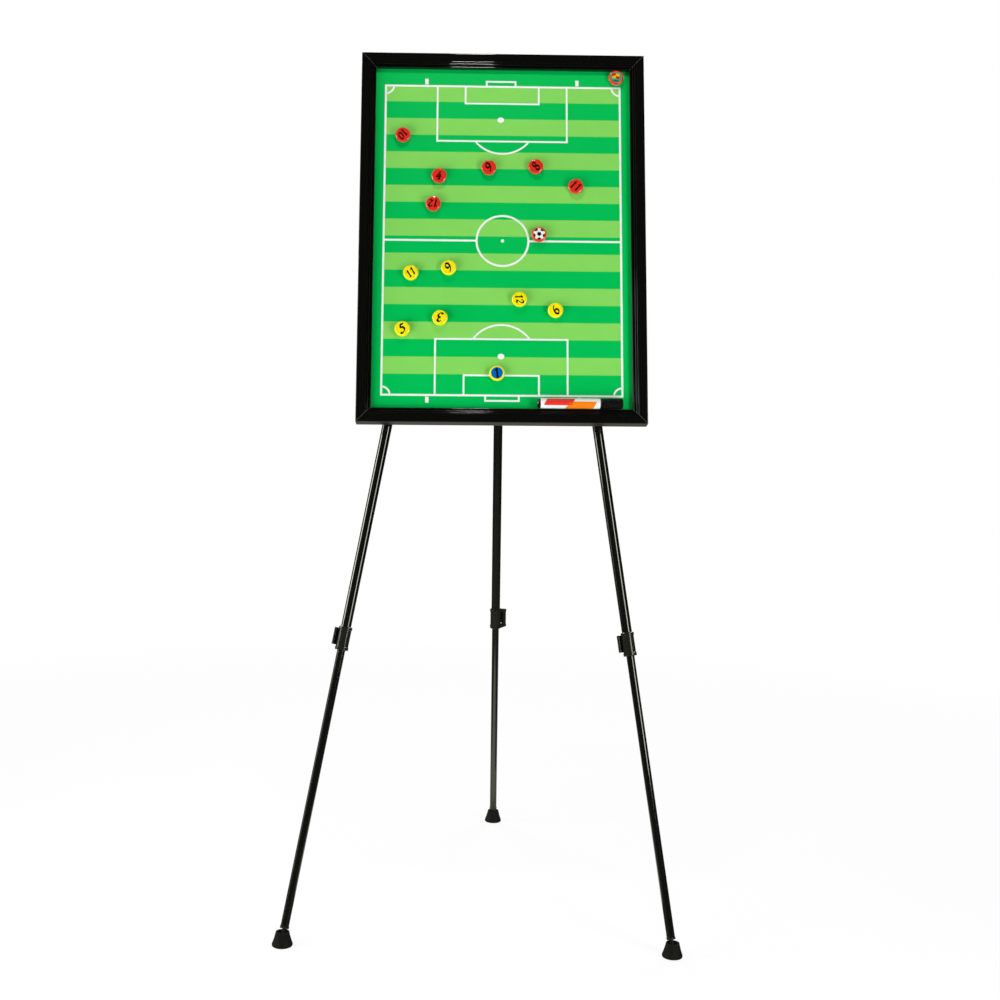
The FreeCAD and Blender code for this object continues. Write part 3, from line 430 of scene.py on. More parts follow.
def lay_stroke(mesh, edges, low, high, spot, closed=False):
    """Adds a flat closed bar of ink between two edges, from one height to another."""
    rings = []
    for a, b in zip(*edges):
        rings.append([mesh.verts.new(spot(*p, h)) for p, h in ((a, low), (b, low), (b, high), (a, high))])
    pairs = list(zip(rings, rings[1:]))
    if closed:
        pairs.append((rings[-1], rings[0]))
    else:
        mesh.faces.new(rings[0])
        mesh.faces.new(rings[-1])
    for one, two in pairs:
        for i in range(4):
            mesh.faces.new((one[i], one[i - 1], two[i - 1], two[i]))


def lay_patch(mesh, outline, low, high, spot):
    """Adds a flat closed patch with a convex or gently curved outline."""
    floor = [mesh.verts.new(spot(*p, low)) for p in outline]
    top = [mesh.verts.new(spot(*p, high)) for p in outline]
    mesh.faces.new(floor)
    mesh.faces.new(top)
    for i in range(len(outline)):
        mesh.faces.new((floor[i - 1], floor[i], top[i], top[i - 1]))


def straight(*points):
    return [Vector(point) for point in points]


def arc(middle, radius, start, end, steps):
    turns = [radians(start + (end - start) * i / steps) for i in range(steps + 1)]
    return [Vector((middle[0] + radius * cos(t), middle[1] + radius * sin(t))) for t in turns]


def ellipse(middle, radii, steps):
    turns = [2 * pi * i / steps for i in range(steps)]
    return [Vector((middle[0] + radii[0] * cos(t), middle[1] + radii[1] * sin(t))) for t in turns]


def finish_piece(name, mesh, material, body):
    """Turns a mesh into a piece of the object that rides on a body."""
    bmesh.ops.recalc_face_normals(mesh, faces=mesh.faces[:])
    data = bpy.data.meshes.new(name)
    mesh.to_mesh(data)
    mesh.free()
    data.materials.append(material)
    piece = bpy.data.objects.new(name, data)
    bpy.context.scene.collection.objects.link(piece)
    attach(piece, body)


def shaded(colour, share):
    """The same colour with that share of its light."""
    return tuple(share * part for part in colour[:3]) + (1,)


def printed_ink(name, colour, roughness, shine=0.2):
    """Screen ink with a slight unevenness of the squeegee."""
    material, tree, shader = new_finish(name)
    shader.inputs["Specular IOR Level"].default_value = shine
    skin = effect(tree, moulded_skin, grain=INK_GRAIN)
    uneven = spread(tree, skin["Mottle"], *UNEVEN_SPAN, 0.0, UNEVEN_SHARE)
    feed(tree, shader,
         base_color=mixed(tree, uneven, colour, shaded(colour, THIN_SHARE)),
         roughness=spread(tree, skin["Mottle"], *NOISE_SPAN, roughness, roughness + INK_SWING),
         normal=raised(tree, skin["Height"], INK_GRAIN_DEPTH * MM))
    return material


pitch_lines = bmesh.new()


def lay_line(points, width=INNER_LINE, closed=False):
    lay_stroke(pitch_lines, even_edges(points, width / 2, closed), 0, INK_LIFT, on_sheet, closed)


def lay_spot(middle, radii, steps):
    lay_patch(pitch_lines, ellipse(middle, radii, steps), 0, INK_LIFT, on_sheet)


half_outer = OUTER_LINE / 2
half_inner = INNER_LINE / 2
touch = PITCH_HALF_WIDTH
top_line, bottom_line = TOP_END["goal_line"], BOTTOM_END["goal_line"]
lay_line(straight((-touch, bottom_line), (touch, bottom_line), (touch, top_line), (-touch, top_line)),
         OUTER_LINE, True)
lay_line(ellipse((0, HALFWAY), (CIRCLE_RADIUS, CIRCLE_RADIUS), CIRCLE_STEPS), OUTER_LINE, True)
lay_spot((0, HALFWAY), (MIDDLE_SPOT_RADIUS, MIDDLE_SPOT_RADIUS), MIDDLE_SPOT_STEPS)
for side in (-1, 1):
    inner, outer = side * (CIRCLE_RADIUS + half_outer), side * (touch - half_outer)
    lay_line(straight((inner, HALFWAY), (outer, HALFWAY)), OUTER_LINE)
for end in (TOP_END, BOTTOM_END):
    goal, inward = end["goal_line"], end["inward"]
    start = goal + inward * half_outer
    areas = ((PENALTY_HALF_WIDTH, end["penalty_depth"]), (GOAL_AREA_HALF_WIDTH, end["goal_area_depth"]))
    for half_width, depth in areas:
        far = goal + inward * depth
        left, right = AREA_SHIFT - half_width, AREA_SHIFT + half_width
        lay_line(straight((left, start), (left, far), (right, far), (right, start)))
    outside = goal - inward * half_outer
    net = goal - inward * GOAL_DEPTH
    left, right = (end["goal_middle"] + way * end["goal_half_width"] for way in (-1, 1))
    lay_line(straight((left, outside), (left, net), (right, net), (right, outside)))
    spot_shift, spot_depth = end["spot"]
    lay_spot((spot_shift, goal + inward * spot_depth), SPOT_RADII, SPOT_STEPS)
    opening = degrees(asin((end["penalty_depth"] + half_inner - PENALTY_ARC_DEPTH) / PENALTY_ARC_RADIUS))
    bow_middle = (AREA_SHIFT, goal + inward * PENALTY_ARC_DEPTH)
    lay_line(arc(bow_middle, PENALTY_ARC_RADIUS, inward * opening, inward * (180 - opening), BOW_STEPS))
    for mark in end["marks"]:
        mark_start = outside - inward * MARK_GAP
        lay_line(straight((mark, mark_start), (mark, mark_start - inward * MARK_HEIGHT)), MARK_WIDTH)
    for side in (-1, 1):
        turn_from = 90 - side * 90
        turn_to = 90 * inward + (0 if inward > 0 or side > 0 else 360)
        lay_line(arc((-side * touch, goal), CORNER_RADIUS, turn_from, turn_to, CORNER_STEPS))
finish_piece("pitch_lines", pitch_lines, printed_ink("line_ink", INK_WHITE, roughness=0.42),
             "board")

# Frame moulding. Extruded black plastic in four mitred lengths: a glossy flat face, two fine beads,
# a groove and a rolled lip; outer sides rougher and brownish grey. A thin paler line shows the glued mitres.
FRAME_BLACK = (0.0036, 0.0035, 0.0031, 1)
FRAME_RUBBED = (0.03, 0.029, 0.026, 1)
FRAME_EDGE = 0.25
FRAME_LINES = 1500.0
FRAME_LINE_DEPTH = 0.0006
FRAME_ROUGHNESS = (0.045, 0.075)
SIDE_GREY = (0.018, 0.016, 0.010, 1)
SIDE_SPAN = (0.3, 0.7)
SIDE_DULLNESS = 0.45
SEAM_PALE = (0.10, 0.095, 0.085, 1)
SEAM_HALF_WIDTH = 0.22
board_top = reach("frame_top_rail", up)[1]
board_side = reach("frame_right_stile", across)[1]


def frame_gloss(name, axis):
    """Gloss skin of a moulding, with the pale glue line along the mitres at both its ends."""
    material, tree, shader = new_finish(name)
    marks = effect(tree, drawn_lines, axis=axis, fineness=FRAME_LINES)
    edge = effect(tree, rubbed_edge, width=FRAME_EDGE * MM)["Mask"]
    rise = place_along(tree, up)
    off_middle = maths(tree, "ABSOLUTE", maths(tree, "SUBTRACT", place_along(tree, across), board_middle))
    to_side = maths(tree, "SUBTRACT", board_side - board_middle, off_middle)
    to_foot = maths(tree, "SUBTRACT", rise, board_foot)
    to_end = maths(tree, "MINIMUM", to_foot, maths(tree, "SUBTRACT", board_top, rise))
    off_mitre = maths(tree, "ABSOLUTE", maths(tree, "SUBTRACT", to_side, to_end))
    seam = spread(tree, off_mitre, SEAM_HALF_WIDTH * MM, 2 * SEAM_HALF_WIDTH * MM, 1.0, 0.0)
    inset = maths(tree, "MINIMUM", to_side, to_end)
    outer_side = spread(tree, inset, SIDE_SPAN[0] * MM, SIDE_SPAN[1] * MM, 1.0, 0.0)
    worn = mixed(tree, edge, FRAME_BLACK, FRAME_RUBBED)
    gloss = spread(tree, marks["Height"], *NOISE_SPAN, *FRAME_ROUGHNESS)
    feed(tree, shader,
         base_color=mixed(tree, seam, mixed(tree, outer_side, worn, SIDE_GREY), SEAM_PALE),
         roughness=maths(tree, "ADD", gloss, maths(tree, "MULTIPLY", outer_side, SIDE_DULLNESS)),
         normal=raised(tree, marks["Height"], FRAME_LINE_DEPTH * MM))
    return material


dress(frame_gloss("rail_gloss", across), "frame_top_rail", "frame_bottom_rail")
dress(frame_gloss("stile_gloss", up), "frame_left_stile", "frame_right_stile")

# Screws, clips, wedges and hanger. Bright zinc plate over pressed steel holds the layers in the frame's
# rebate from behind; the hanger channel takes the crown's tongue, and two rubber pads meet the legs.
ZINC = (0.60, 0.61, 0.62, 1)
ZINC_DULL = (0.36, 0.37, 0.385, 1)
ZINC_DUST = 0.25
ZINC_GRAIN = 2400.0
ZINC_GRAIN_DEPTH = 0.008
ZINC_ROUGHNESS = (0.28, 0.46)
SPANGLES = 420.0
zinc_plate, tree, shader = new_finish("zinc_plate")
spangle = place(tree, "ShaderNodeTexVoronoi", {"Vector": own_place(tree), "Scale": SPANGLES})
flake = place(tree, "ShaderNodeSeparateColor", {0: spangle.outputs["Color"]}).outputs[0]
skin = effect(tree, moulded_skin, grain=ZINC_GRAIN)
fall = effect(tree, settled_dust, amount=ZINC_DUST)["Mask"]
shader.inputs["Metallic"].default_value = 1.0
feed(tree, shader,
     base_color=mixed(tree, fall, mixed(tree, flake, ZINC_DULL, ZINC), DUST),
     roughness=spread(tree, flake, 0.0, 1.0, *ZINC_ROUGHNESS),
     normal=raised(tree, skin["Height"], ZINC_GRAIN_DEPTH * MM))
dress(zinc_plate, "panel_clips", "board_fasteners", "hanger_bracket")
dress(foot_rubber, "back_bumpers")

# Magnets. Glossy moulded caps in red or yellow with a ferrite disc pressed in behind; a printed disc is
# snapped into the face. The numbers are broad-nib figures in black, each magnet turned as it was put down.
MAGNET_RED = (0.82, 0.032, 0.016, 1)
MAGNET_YELLOW = (1.0, 0.86, 0.006, 1)
CAP_EDGE = 0.3
CAP_GRAIN = 420.0
CAP_GRAIN_DEPTH = 0.012
CAP_ROUGHNESS = (0.08, 0.14)
CAP_DEEP_SHARE, CAP_MOTTLE = 0.72, 0.14
CAP_PALE_SHARE, CAP_RUB_SHARE = 0.25, 0.3
NUMERAL_BLACK = (0.003, 0.003, 0.003, 1)
FACE_SINK = 0.25
PRINT_LIFT = 0.07
NIB_ANGLE = radians(38)
NIB_THIN_SHARE = 0.05
NIB_BROAD_SHARE = 0.078
CURVE_STEPS = 6
SLANT_SHARE = 0.16
FIGURE_WIDTH = 0.56
ADVANCE = 0.66
ADVANCE_OF_ONE = 0.70
NUMERALS = {
    "0": [[(0.30, 1.0), (0.10, 0.84), (0.02, 0.48), (0.08, 0.14), (0.26, 0.0), (0.46, 0.14), (0.54, 0.52),
           (0.47, 0.86), (0.30, 1.0)]],
    "1": [[(0.06, 0.80), (0.18, 0.88), (0.30, 1.0), (0.30, 0.72), (0.30, 0.30), (0.30, 0.02)],
          [(0.16, 0.0), (0.30, 0.015), (0.44, 0.0)]],
    "2": [[(0.05, 0.74), (0.12, 0.93), (0.30, 1.0), (0.48, 0.90), (0.50, 0.70), (0.34, 0.42), (0.04, 0.05)],
          [(0.04, 0.05), (0.22, 0.09), (0.40, 0.02), (0.56, 0.08)]],
    "3": [[(0.06, 0.84), (0.18, 0.98), (0.36, 0.98), (0.46, 0.82), (0.38, 0.62), (0.20, 0.53)],
          [(0.20, 0.53), (0.42, 0.47), (0.52, 0.27), (0.41, 0.06), (0.20, 0.0), (0.02, 0.12)]],
    "4": [[(0.38, 1.0), (0.22, 0.66), (0.02, 0.32), (0.30, 0.33), (0.58, 0.32)],
          [(0.40, 0.66), (0.39, 0.34), (0.36, 0.0)], [(0.20, 0.0), (0.36, 0.015), (0.52, 0.0)]],
    "5": [[(0.52, 1.0), (0.34, 0.95), (0.17, 0.97), (0.13, 0.78), (0.10, 0.57)],
          [(0.10, 0.57), (0.30, 0.62), (0.48, 0.48), (0.49, 0.24), (0.34, 0.05), (0.14, 0.0), (0.01, 0.10)]],
    "6": [[(0.50, 0.98), (0.26, 0.82), (0.09, 0.52), (0.06, 0.24), (0.18, 0.03), (0.38, 0.02), (0.51, 0.20),
           (0.46, 0.44), (0.28, 0.52), (0.09, 0.36)]],
    "8": [[(0.28, 0.53), (0.11, 0.67), (0.10, 0.87), (0.28, 1.0), (0.46, 0.88), (0.44, 0.68), (0.28, 0.53),
           (0.08, 0.35), (0.05, 0.14), (0.24, 0.0), (0.46, 0.10), (0.48, 0.33), (0.28, 0.53)]],
}
NUMERALS["9"] = [[(FIGURE_WIDTH - x, 1 - y) for x, y in stroke] for stroke in NUMERALS["6"]]
MAGNET_TURNS_AND_SIZES = {
    "magnet_red_10": (-130, 11.2), "magnet_red_4": (-2, 13.0), "magnet_red_9": (45, 13.8),
    "magnet_red_8": (58, 13.2), "magnet_red_11": (-34, 11.6), "magnet_red_12": (176, 11.0),
    "magnet_yellow_11": (40, 10.6), "magnet_yellow_9": (48, 13.6), "magnet_yellow_12": (-80, 10.8),
    "magnet_yellow_6": (52, 13.6), "magnet_yellow_3": (172, 13.6), "magnet_yellow_5": (22, 14.0),
}


def gloss_moulding(name, colour, lustre):
    """Glossy coloured plastic with the slight waviness of a quick moulding."""
    material, tree, shader = new_finish(name)
    shader.inputs["Coat Weight"].default_value = 1.0
    shader.inputs["Coat IOR"].default_value = lustre
    skin = effect(tree, moulded_skin, grain=CAP_GRAIN)
    edge = effect(tree, rubbed_edge, width=CAP_EDGE * MM)["Mask"]
    depths = spread(tree, skin["Mottle"], *UNEVEN_SPAN, 0.0, CAP_MOTTLE)
    tone = mixed(tree, depths, colour, shaded(colour, CAP_DEEP_SHARE))
    pale = tuple(part + CAP_PALE_SHARE * (1 - part) for part in colour[:3]) + (1,)
    feed(tree, shader,
         base_color=mixed(tree, maths(tree, "MULTIPLY", edge, CAP_RUB_SHARE), tone, pale),
         roughness=spread(tree, skin["Mottle"], *NOISE_SPAN, *CAP_ROUGHNESS),
         normal=raised(tree, skin["Height"], CAP_GRAIN_DEPTH * MM))
    return material


def flowing(points):
    """Smooth run through given points."""
    points = [Vector(point) for point in points]
    padded = [2 * points[0] - points[1]] + points + [2 * points[-1] - points[-2]]
    run = []
    for a, b, c, d in zip(padded, padded[1:], padded[2:], padded[3:]):
        square = 2 * a - 5 * b + 4 * c - d
        cube = 3 * b - a - 3 * c + d
        for i in range(CURVE_STEPS):
            t = i / CURVE_STEPS
            run.append(0.5 * (2 * b + (c - a) * t + square * t ** 2 + cube * t ** 3))
    return run + [points[-1]]


def nib_edges(points, size):
    """Edges of a broad-nib stroke, thick across the nib and thin along it."""
    left, right = [], []
    for i, point in enumerate(points):
        step = (points[min(i + 1, len(points) - 1)] - points[max(i - 1, 0)]).normalized()
        across_nib = abs(step.x * sin(NIB_ANGLE) - step.y * cos(NIB_ANGLE))
        half = size * (NIB_THIN_SHARE + NIB_BROAD_SHARE * across_nib)
        normal = Vector((-step.y, step.x)) * half
        left.append(point + normal)
        right.append(point - normal)
    return left, right


def magnet_face(node):
    """Gives places on a magnet's face from its middle, in mm, on its printed disc."""
    middle_x = sum(reach(node, across)) / 2
    middle_y = sum(reach(node, up)) / 2
    face = reach(node, out)[1] - FACE_SINK * MM
    return lambda x, y, h: across * (middle_x + x * MM) + up * (middle_y + y * MM) + out * (face + h * MM)


def lay_numeral(mesh, text, size, turn, low, high, spot):
    """Writes a number of that height round the middle of a face, turned by an angle in degrees."""
    advances = [ADVANCE_OF_ONE if figure == "1" else ADVANCE for figure in text]
    start = -sum(advances) / 2
    swing = Matrix.Rotation(radians(turn), 2)
    for figure, advance in zip(text, advances):
        inset = (advance - FIGURE_WIDTH) / 2
        for stroke in NUMERALS[figure]:
            points = [(start + inset + x + SLANT_SHARE * (y - 0.5), y - 0.5) for x, y in stroke]
            edges = nib_edges(flowing(points), 1.0)
            lay_stroke(mesh, [[swing @ point * size for point in edge] for edge in edges], low, high, spot)
        start += advance


numeral_ink = printed_ink("numeral_ink", NUMERAL_BLACK, roughness=0.4, shine=0.05)


def print_number(node, text, turn, size, low):
    """Prints a number on a magnet, one layer of ink thick."""
    numeral = bmesh.new()
    lay_numeral(numeral, text, size, turn, low, low + PRINT_LIFT, magnet_face(node))
    finish_piece(node + "_numeral", numeral, numeral_ink, node)


magnet_red = gloss_moulding("magnet_red", MAGNET_RED, lustre=1.9)
magnet_yellow = gloss_moulding("magnet_yellow", MAGNET_YELLOW, lustre=1.5)
plastics = {"magnet_red": magnet_red, "magnet_yellow": magnet_yellow}
for node, (turn, size) in MAGNET_TURNS_AND_SIZES.items():
    slot, number = node.rsplit("_", 1)
    dress(plastics[slot], node)
    print_number(node, number, turn, size, 0)

# Keeper, ball and flag magnets. The same caps with discs printed in more inks: a black figure 1 on a blue
# disc, a ball of black and white panels, and a quartered flag on a teal disc.
DISC_RADIUS = 9.2
DISC_STEPS = 72
DISC_ROUGHNESS = 0.14
KEEPER_BLUE = (0.0, 0.138, 0.50, 1)
KEEPER_TURN, KEEPER_SIZE = 16, 14.4
PANEL_COUNT = 5
PANEL_TURN = 360 / PANEL_COUNT
PANEL_RADIUS = 3.7
PANEL_OUTER = 6.9
FIRST_PANEL = -90
PANEL_TIP = 6.0
BALL_SEAM_START = 3.5
BALL_SEAM_HALF = 0.14
SHOULDER_HALF_TURN = 17
RIM_HALF_TURN = 22
RIM_RADIUS = 9.1
RIM_STEPS = 8
FLAG_TEAL = (0.040, 0.32, 0.19, 1)
FLAG_INKS = {"red": (0.55, 0.006, 0.008, 1), "yellow": (0.80, 0.50, 0.004, 1)}
FLAG_QUARTERS = {"red": ((0, 1), (1, 0)), "yellow": ((0, 0), (1, 1))}
FLAG_SIDES = (-6.4, -0.5, 5.4)
FLAG_LEVELS = (-2.4, 2.0, 6.4)
FLAG_STEPS = 8
FLAG_WAVE = 0.9
WAVE_RATE, WAVE_LAG = 0.62, 1.2
POLE_TOP, POLE_FOOT, POLE_HALF = (-6.6, 5.2), (-5.3, -6.4), 0.2
TURF = ((-4.6, -6.5), (-1.5, -5.9), (1.6, -6.6), (4.4, -5.6))
TURF_NIB = 7.0
dress(magnet_yellow, "magnet_keeper")
dress(magnet_red, "magnet_ball", "magnet_flag")


def printed_disc(node, ink, colour):
    disc = bmesh.new()
    outline = ellipse((0, 0), (DISC_RADIUS, DISC_RADIUS), DISC_STEPS)
    lay_patch(disc, outline, 0, PRINT_LIFT, magnet_face(node))
    finish_piece(node + "_disc", disc, printed_ink(ink, colour, DISC_ROUGHNESS), node)


printed_disc("magnet_keeper", "keeper_blue", KEEPER_BLUE)
print_number("magnet_keeper", "1", KEEPER_TURN, KEEPER_SIZE, PRINT_LIFT)

printed_disc("magnet_ball", "ball_white", INK_WHITE)
ball_face = magnet_face("magnet_ball")
second_layer = (PRINT_LIFT, 2 * PRINT_LIFT)


def on_bearing(radius, bearing):
    """Point of a face at a distance from its middle, on a bearing in degrees."""
    return Vector((radius * cos(radians(bearing)), radius * sin(radians(bearing))))


panels = bmesh.new()
bearings = [FIRST_PANEL + PANEL_TURN * i for i in range(PANEL_COUNT)]
lay_patch(panels, [on_bearing(PANEL_RADIUS, bearing) for bearing in bearings], *second_layer, ball_face)
for bearing in bearings:
    tip = on_bearing(PANEL_TIP, bearing)
    seam = even_edges([on_bearing(BALL_SEAM_START, bearing), tip], BALL_SEAM_HALF)
    lay_stroke(panels, seam, *second_layer, ball_face)
    first, last = (on_bearing(PANEL_OUTER, bearing + way * SHOULDER_HALF_TURN) for way in (-1, 1))
    rim = arc((0, 0), RIM_RADIUS, bearing - RIM_HALF_TURN, bearing + RIM_HALF_TURN, RIM_STEPS)
    lay_patch(panels, [tip, first] + rim + [last], *second_layer, ball_face)
finish_piece("magnet_ball_panels", panels, numeral_ink, "magnet_ball")

printed_disc("magnet_flag", "flag_teal", FLAG_TEAL)
flag_face = magnet_face("magnet_flag")


def flag_edge(level, start, end):
    """Points along the waving flag at a level, from one side to the other."""
    places = [start + (end - start) * i / FLAG_STEPS for i in range(FLAG_STEPS + 1)]
    waves = [FLAG_WAVE * sin((x - FLAG_SIDES[0]) * WAVE_RATE - WAVE_LAG) for x in places]
    return [Vector((x, level + wave)) for x, wave in zip(places, waves)]


for colour, quarters in FLAG_QUARTERS.items():
    cloth = bmesh.new()
    for column, row in quarters:
        width = FLAG_SIDES[column:column + 2]
        edges = flag_edge(FLAG_LEVELS[row + 1], *width), flag_edge(FLAG_LEVELS[row], *width)
        lay_stroke(cloth, edges, *second_layer, flag_face)
    ink = printed_ink("flag_" + colour, FLAG_INKS[colour], DISC_ROUGHNESS)
    finish_piece("magnet_flag_" + colour, cloth, ink, "magnet_flag")
pole = bmesh.new()
lay_stroke(pole, even_edges(straight(POLE_TOP, POLE_FOOT), POLE_HALF), *second_layer, flag_face)
lay_stroke(pole, nib_edges(flowing(TURF), TURF_NIB), *second_layer, flag_face)
finish_piece("magnet_flag_pole", pole, numeral_ink, "magnet_flag")

# Marker pen. White plastic barrel with a black end plug, a felt nib and a fluted black cap, laid in the
# corner of the rail and the sheet. Two slanted bands, red and below it orange, are printed on the barrel.
PEN_WHITE = (0.86, 0.86, 0.84, 1)
PEN_WHITE_DULL = (0.74, 0.73, 0.70, 1)
PEN_BLACK = (0.0045, 0.0045, 0.0042, 1)
PEN_RUBBED = (0.03, 0.03, 0.028, 1)
FELT = (0.03, 0.028, 0.03, 1)
PEN_BANDS = {
    "red": {"colour": (0.80, 0.034, 0.020, 1), "length": (7.0, 50.0), "girth": (-4.6, 7.0)},
    "orange": {"colour": (0.93, 0.215, 0.004, 1), "length": (43.5, 86.0), "girth": (-13.0, 1.4)},
}
BAND_FOOT, BAND_LIFT = 0.01, 0.05
BAND_SLANT_SHARE = 0.5
BAND_STEPS = 16
BAND_ROUGHNESS = 0.3
barrel_white = moulded_finish("barrel_white", PEN_WHITE, PEN_WHITE_DULL,
                              roughness=0.3, grain=900.0, depth=0.01, dust=0.0)
pen_black = moulded_finish("pen_black", PEN_BLACK, PEN_RUBBED,
                           roughness=0.24, grain=5200.0, depth=0.008, dust=0.0)
nib_felt = moulded_finish("nib_felt", FELT, FELT, roughness=0.85, grain=4200.0, depth=0.1, dust=0.0)
dress(barrel_white, "pen_barrel")
dress(pen_black, "pen_tail_plug", "pen_cap")
dress(nib_felt, "pen_nib")
pen_tail = reach("pen_barrel", across)[0]
pen_low, pen_high = reach("pen_barrel", up)
pen_rise = (pen_low + pen_high) / 2
pen_radius = (pen_high - pen_low) / 2
pen_depth = sum(reach("pen_barrel", out)) / 2


def round_barrel(length, girth, height):
    """Place on the pen's barrel, girth being measured round it upwards from the front."""
    turn = girth * MM / pen_radius
    radius = pen_radius + height * MM
    middle = across * (pen_tail + length * MM) + up * pen_rise + out * pen_depth
    return middle + up * (radius * sin(turn)) + out * (radius * cos(turn))


for name, band in PEN_BANDS.items():
    start, end = band["length"]
    low, high = band["girth"]
    girths = [low + (high - low) * i / BAND_STEPS for i in range(BAND_STEPS + 1)]
    left = [Vector((start + BAND_SLANT_SHARE * girth, girth)) for girth in girths]
    right = [Vector((end + BAND_SLANT_SHARE * girth, girth)) for girth in girths]
    mesh = bmesh.new()
    lay_stroke(mesh, (left, right), BAND_FOOT, BAND_LIFT, round_barrel)
    ink = printed_ink("band_" + name, band["colour"], BAND_ROUGHNESS)
    finish_piece("pen_band_" + name, mesh, ink, "pen")

# Studio. The easel stands on a pale floor in an even white room, with a soft box and a strip light on each
# side, a small lamp close above and two boxes behind; black cloth and floor mats only show in the gloss.
ROOM_LIGHT = 0.05
WHITE = (1, 1, 1, 1)
FLOOR_WHITE = (0.92, 0.92, 0.92, 1)
FLOOR_SHADE = (0.8, 0.8, 0.8, 1)
FLOOR_CLOUDS, FLOOR_SHADE_SHARE = 6.0, 0.04
FLOOR_HALF = 40.0
GLOW_SPAN = (0.5, 2.2)
GLOW_NEAR = 0.88
scene = bpy.context.scene
scene.view_settings.view_transform = "Standard"


def seen_directly(tree):
    """1 for what the camera sees straight, in gloss or through glass, and 0 for what only lights."""
    rays = place(tree, "ShaderNodeLightPath").outputs
    shown = maths(tree, "MAXIMUM", rays["Is Camera Ray"], rays["Is Glossy Ray"])
    return maths(tree, "MAXIMUM", shown, rays["Is Transmission Ray"])


room = bpy.data.worlds.new("white_room")
room.use_nodes = True
scene.world = room
tree = room.node_tree
tree.nodes.clear()
dim = place(tree, "ShaderNodeBackground", {"Color": WHITE, "Strength": ROOM_LIGHT}).outputs[0]
bright = place(tree, "ShaderNodeBackground", {"Color": WHITE, "Strength": 1.0}).outputs[0]
walls = place(tree, "ShaderNodeMixShader", {0: seen_directly(tree), 1: dim, 2: bright}).outputs[0]
place(tree, "ShaderNodeOutputWorld", {"Surface": walls})

floor_paint = bpy.data.materials.new("floor_paint")
floor_paint.use_nodes = True
tree = floor_paint.node_tree
tree.nodes.clear()
cloud = spread(tree, noise(tree, FLOOR_CLOUDS, detail=3), *NOISE_SPAN, 0.0, FLOOR_SHADE_SHARE)
paint = mixed(tree, cloud, FLOOR_WHITE, FLOOR_SHADE)
matt = place(tree, "ShaderNodeBsdfDiffuse", {"Color": paint}).outputs[0]
glow = place(tree, "ShaderNodeEmission", {"Color": WHITE, "Strength": 1.0}).outputs[0]
from_easel = place(tree, "ShaderNodeVectorMath", {0: own_place(tree)}, operation="LENGTH").outputs["Value"]
share = maths(tree, "MULTIPLY", seen_directly(tree), spread(tree, from_easel, *GLOW_SPAN, GLOW_NEAR, 1.0))
surface = place(tree, "ShaderNodeMixShader", {0: share, 1: matt, 2: glow}).outputs[0]
place(tree, "ShaderNodeOutputMaterial", {"Surface": surface})


def stage_mesh(name, corners, faces, material):
    data = bpy.data.meshes.new(name)
    data.from_pydata(corners, [], faces)
    data.materials.append(material)
    piece = bpy.data.objects.new(name, data)
    scene.collection.objects.link(piece)
    return piece


stage_mesh("floor", [(x * FLOOR_HALF, y * FLOOR_HALF, 0) for x, y in ((-1, -1), (1, -1), (1, 1), (-1, 1))],
           [(0, 1, 2, 3)], floor_paint)

CLOTH_RADIUS = 5.0
CLOTH_HEIGHT = 4.5
CLOTH_HOLE = 0.02
CLOTH_WEAVE = 30.0
MAT_INNER = 0.25
MAT_LIFT = 0.002
FOLDS = 48
cloth_profile = [(CLOTH_RADIUS, 0.0), (CLOTH_RADIUS, CLOTH_HEIGHT), (CLOTH_HOLE, CLOTH_HEIGHT)]
mat_profile = [(MAT_INNER, MAT_LIFT), (CLOTH_RADIUS, MAT_LIFT)]


def hung_cloth(name, start, end, profile, dark, light):
    """Cloth swept round the easel from one bearing to another, which only the gloss shows."""
    cloth, tree, shader = new_finish(name)
    feed(tree, shader, base_color=mixed(tree, noise(tree, CLOTH_WEAVE, detail=3), dark, light))
    shader.inputs["Specular IOR Level"].default_value = 0.0
    turns = [radians(start + (end - start) * i / FOLDS) for i in range(FOLDS + 1)]
    corners = []
    for turn in turns:
        corners += [(radius * sin(turn), -radius * cos(turn), height) for radius, height in profile]
    count = len(profile)
    faces = []
    for i in range(FOLDS):
        for j in range(count - 1):
            first = i * count + j
            faces.append((first, first + count, first + count + 1, first + 1))
    piece = stage_mesh(name, corners, faces, cloth)
    piece.visible_camera = False
    piece.visible_diffuse = False
    piece.visible_shadow = False
    piece.visible_transmission = False


hung_cloth("black_cloth", start=-80, end=250, profile=cloth_profile,
           dark=(0.002, 0.002, 0.002, 1), light=(0.004, 0.004, 0.004, 1))
hung_cloth("dark_mat", start=-140, end=140, profile=mat_profile,
           dark=(0.07, 0.07, 0.06, 1), light=(0.10, 0.10, 0.088, 1))
hung_cloth("grey_mat", start=140, end=220, profile=mat_profile,
           dark=(0.58, 0.58, 0.50, 1), light=(0.64, 0.64, 0.55, 1))

BOARD_AIM = Vector((0.0, -0.09, 1.0))
HIGH_AIM = Vector((-0.07, -0.03, 1.2))
BACK_AIM = Vector((0.0, 0.05, 1.0))


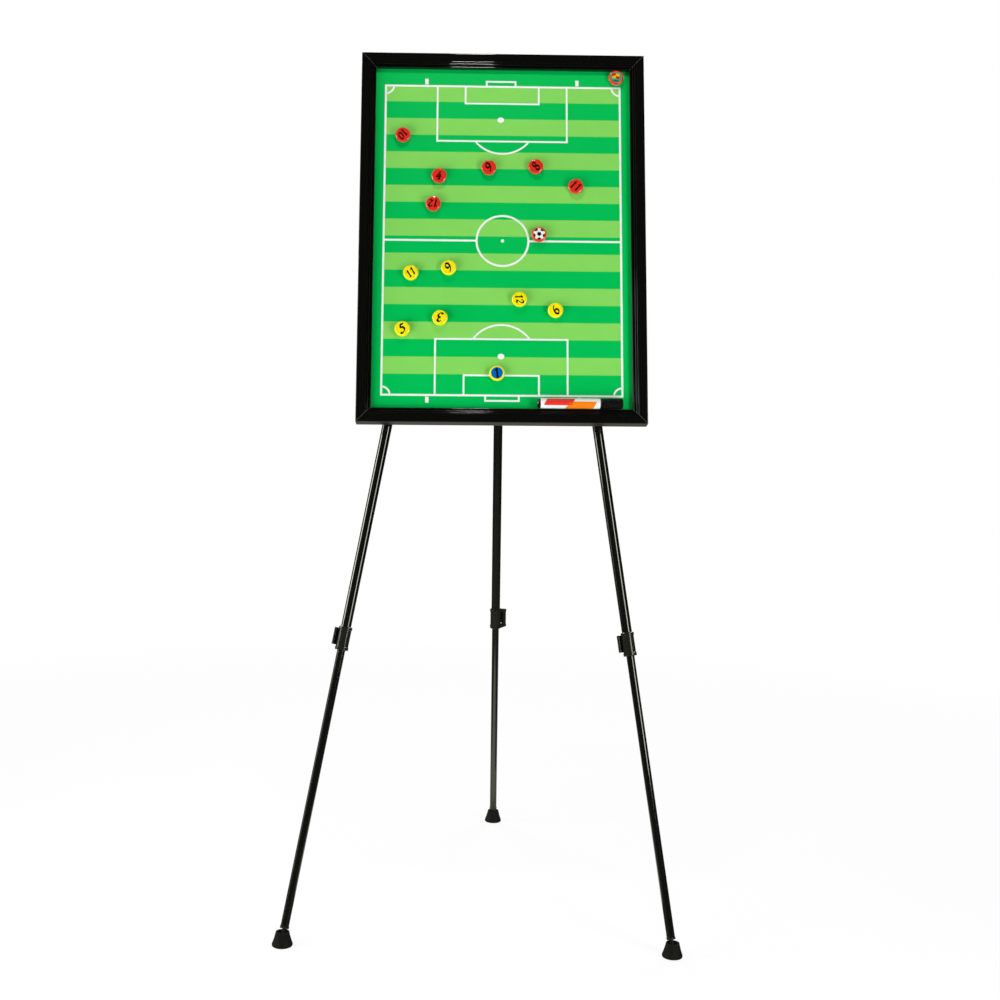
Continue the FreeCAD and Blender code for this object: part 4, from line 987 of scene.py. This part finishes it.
def studio_lamp(name, aim, turn, rise, distance, size, power, in_gloss=True):
    """Area lamp on a bearing from the front, positive to the right, and at a rise, both in degrees."""
    lamp = bpy.data.lights.new(name, "AREA")
    lamp.shape = "RECTANGLE"
    lamp.size, lamp.size_y = size
    lamp.energy = power
    level = cos(radians(rise))
    towards = Vector((sin(radians(turn)) * level, -cos(radians(turn)) * level, sin(radians(rise))))
    item = bpy.data.objects.new(name, lamp)
    item.location = aim + towards * distance
    item.rotation_euler = towards.to_track_quat("Z", "Y").to_euler()
    item.visible_glossy = in_gloss
    scene.collection.objects.link(item)


studio_lamp("right_box", BOARD_AIM, turn=48, rise=-26, distance=1.4, size=(0.5, 0.9), power=5.0,
            in_gloss=False)
studio_lamp("left_box", BOARD_AIM, turn=-50, rise=-23, distance=1.4, size=(0.75, 0.9), power=12.8,
            in_gloss=False)
studio_lamp("right_strip", BOARD_AIM, turn=46, rise=-2, distance=1.4, size=(0.4, 0.9), power=8.2)
studio_lamp("left_strip", BOARD_AIM, turn=-84, rise=4, distance=1.4, size=(0.4, 0.8), power=9.0)
studio_lamp("high_lamp", HIGH_AIM, turn=0, rise=62, distance=0.95, size=(0.09, 0.09), power=3.8)
studio_lamp("back_right_box", BACK_AIM, turn=148, rise=35, distance=1.8, size=(0.9, 0.9), power=24)
studio_lamp("back_left_box", BACK_AIM, turn=-148, rise=35, distance=1.8, size=(0.9, 0.9), power=24)

# Camera. It stands 2.3 m in front of the easel, a little above the board's lower edge, tipped down by five
# degrees and rolled by two, as the photograph is.
LENS = 50.4
SENSOR_WIDTH = 36.0
STAND = Vector((-0.02677, -2.30978, 0.84955))
LOOK, TIP, ROLL = radians(1.024), radians(-5.090), radians(2.062)
camera_data = bpy.data.cameras.new("camera")
camera_data.lens = LENS
camera_data.sensor_width = SENSOR_WIDTH
camera = bpy.data.objects.new("camera", camera_data)
scene.collection.objects.link(camera)
ahead = Vector((sin(LOOK) * cos(TIP), cos(LOOK) * cos(TIP), sin(TIP)))
level = Vector((cos(LOOK), -sin(LOOK), 0.0))
overhead = level.cross(ahead)
right_edge = level * cos(ROLL) + overhead * sin(ROLL)
top_edge = overhead * cos(ROLL) - level * sin(ROLL)
turned = Matrix((right_edge, top_edge, -ahead)).transposed().to_4x4()
camera.matrix_world = Matrix.Translation(STAND) @ turned
scene.camera = camera
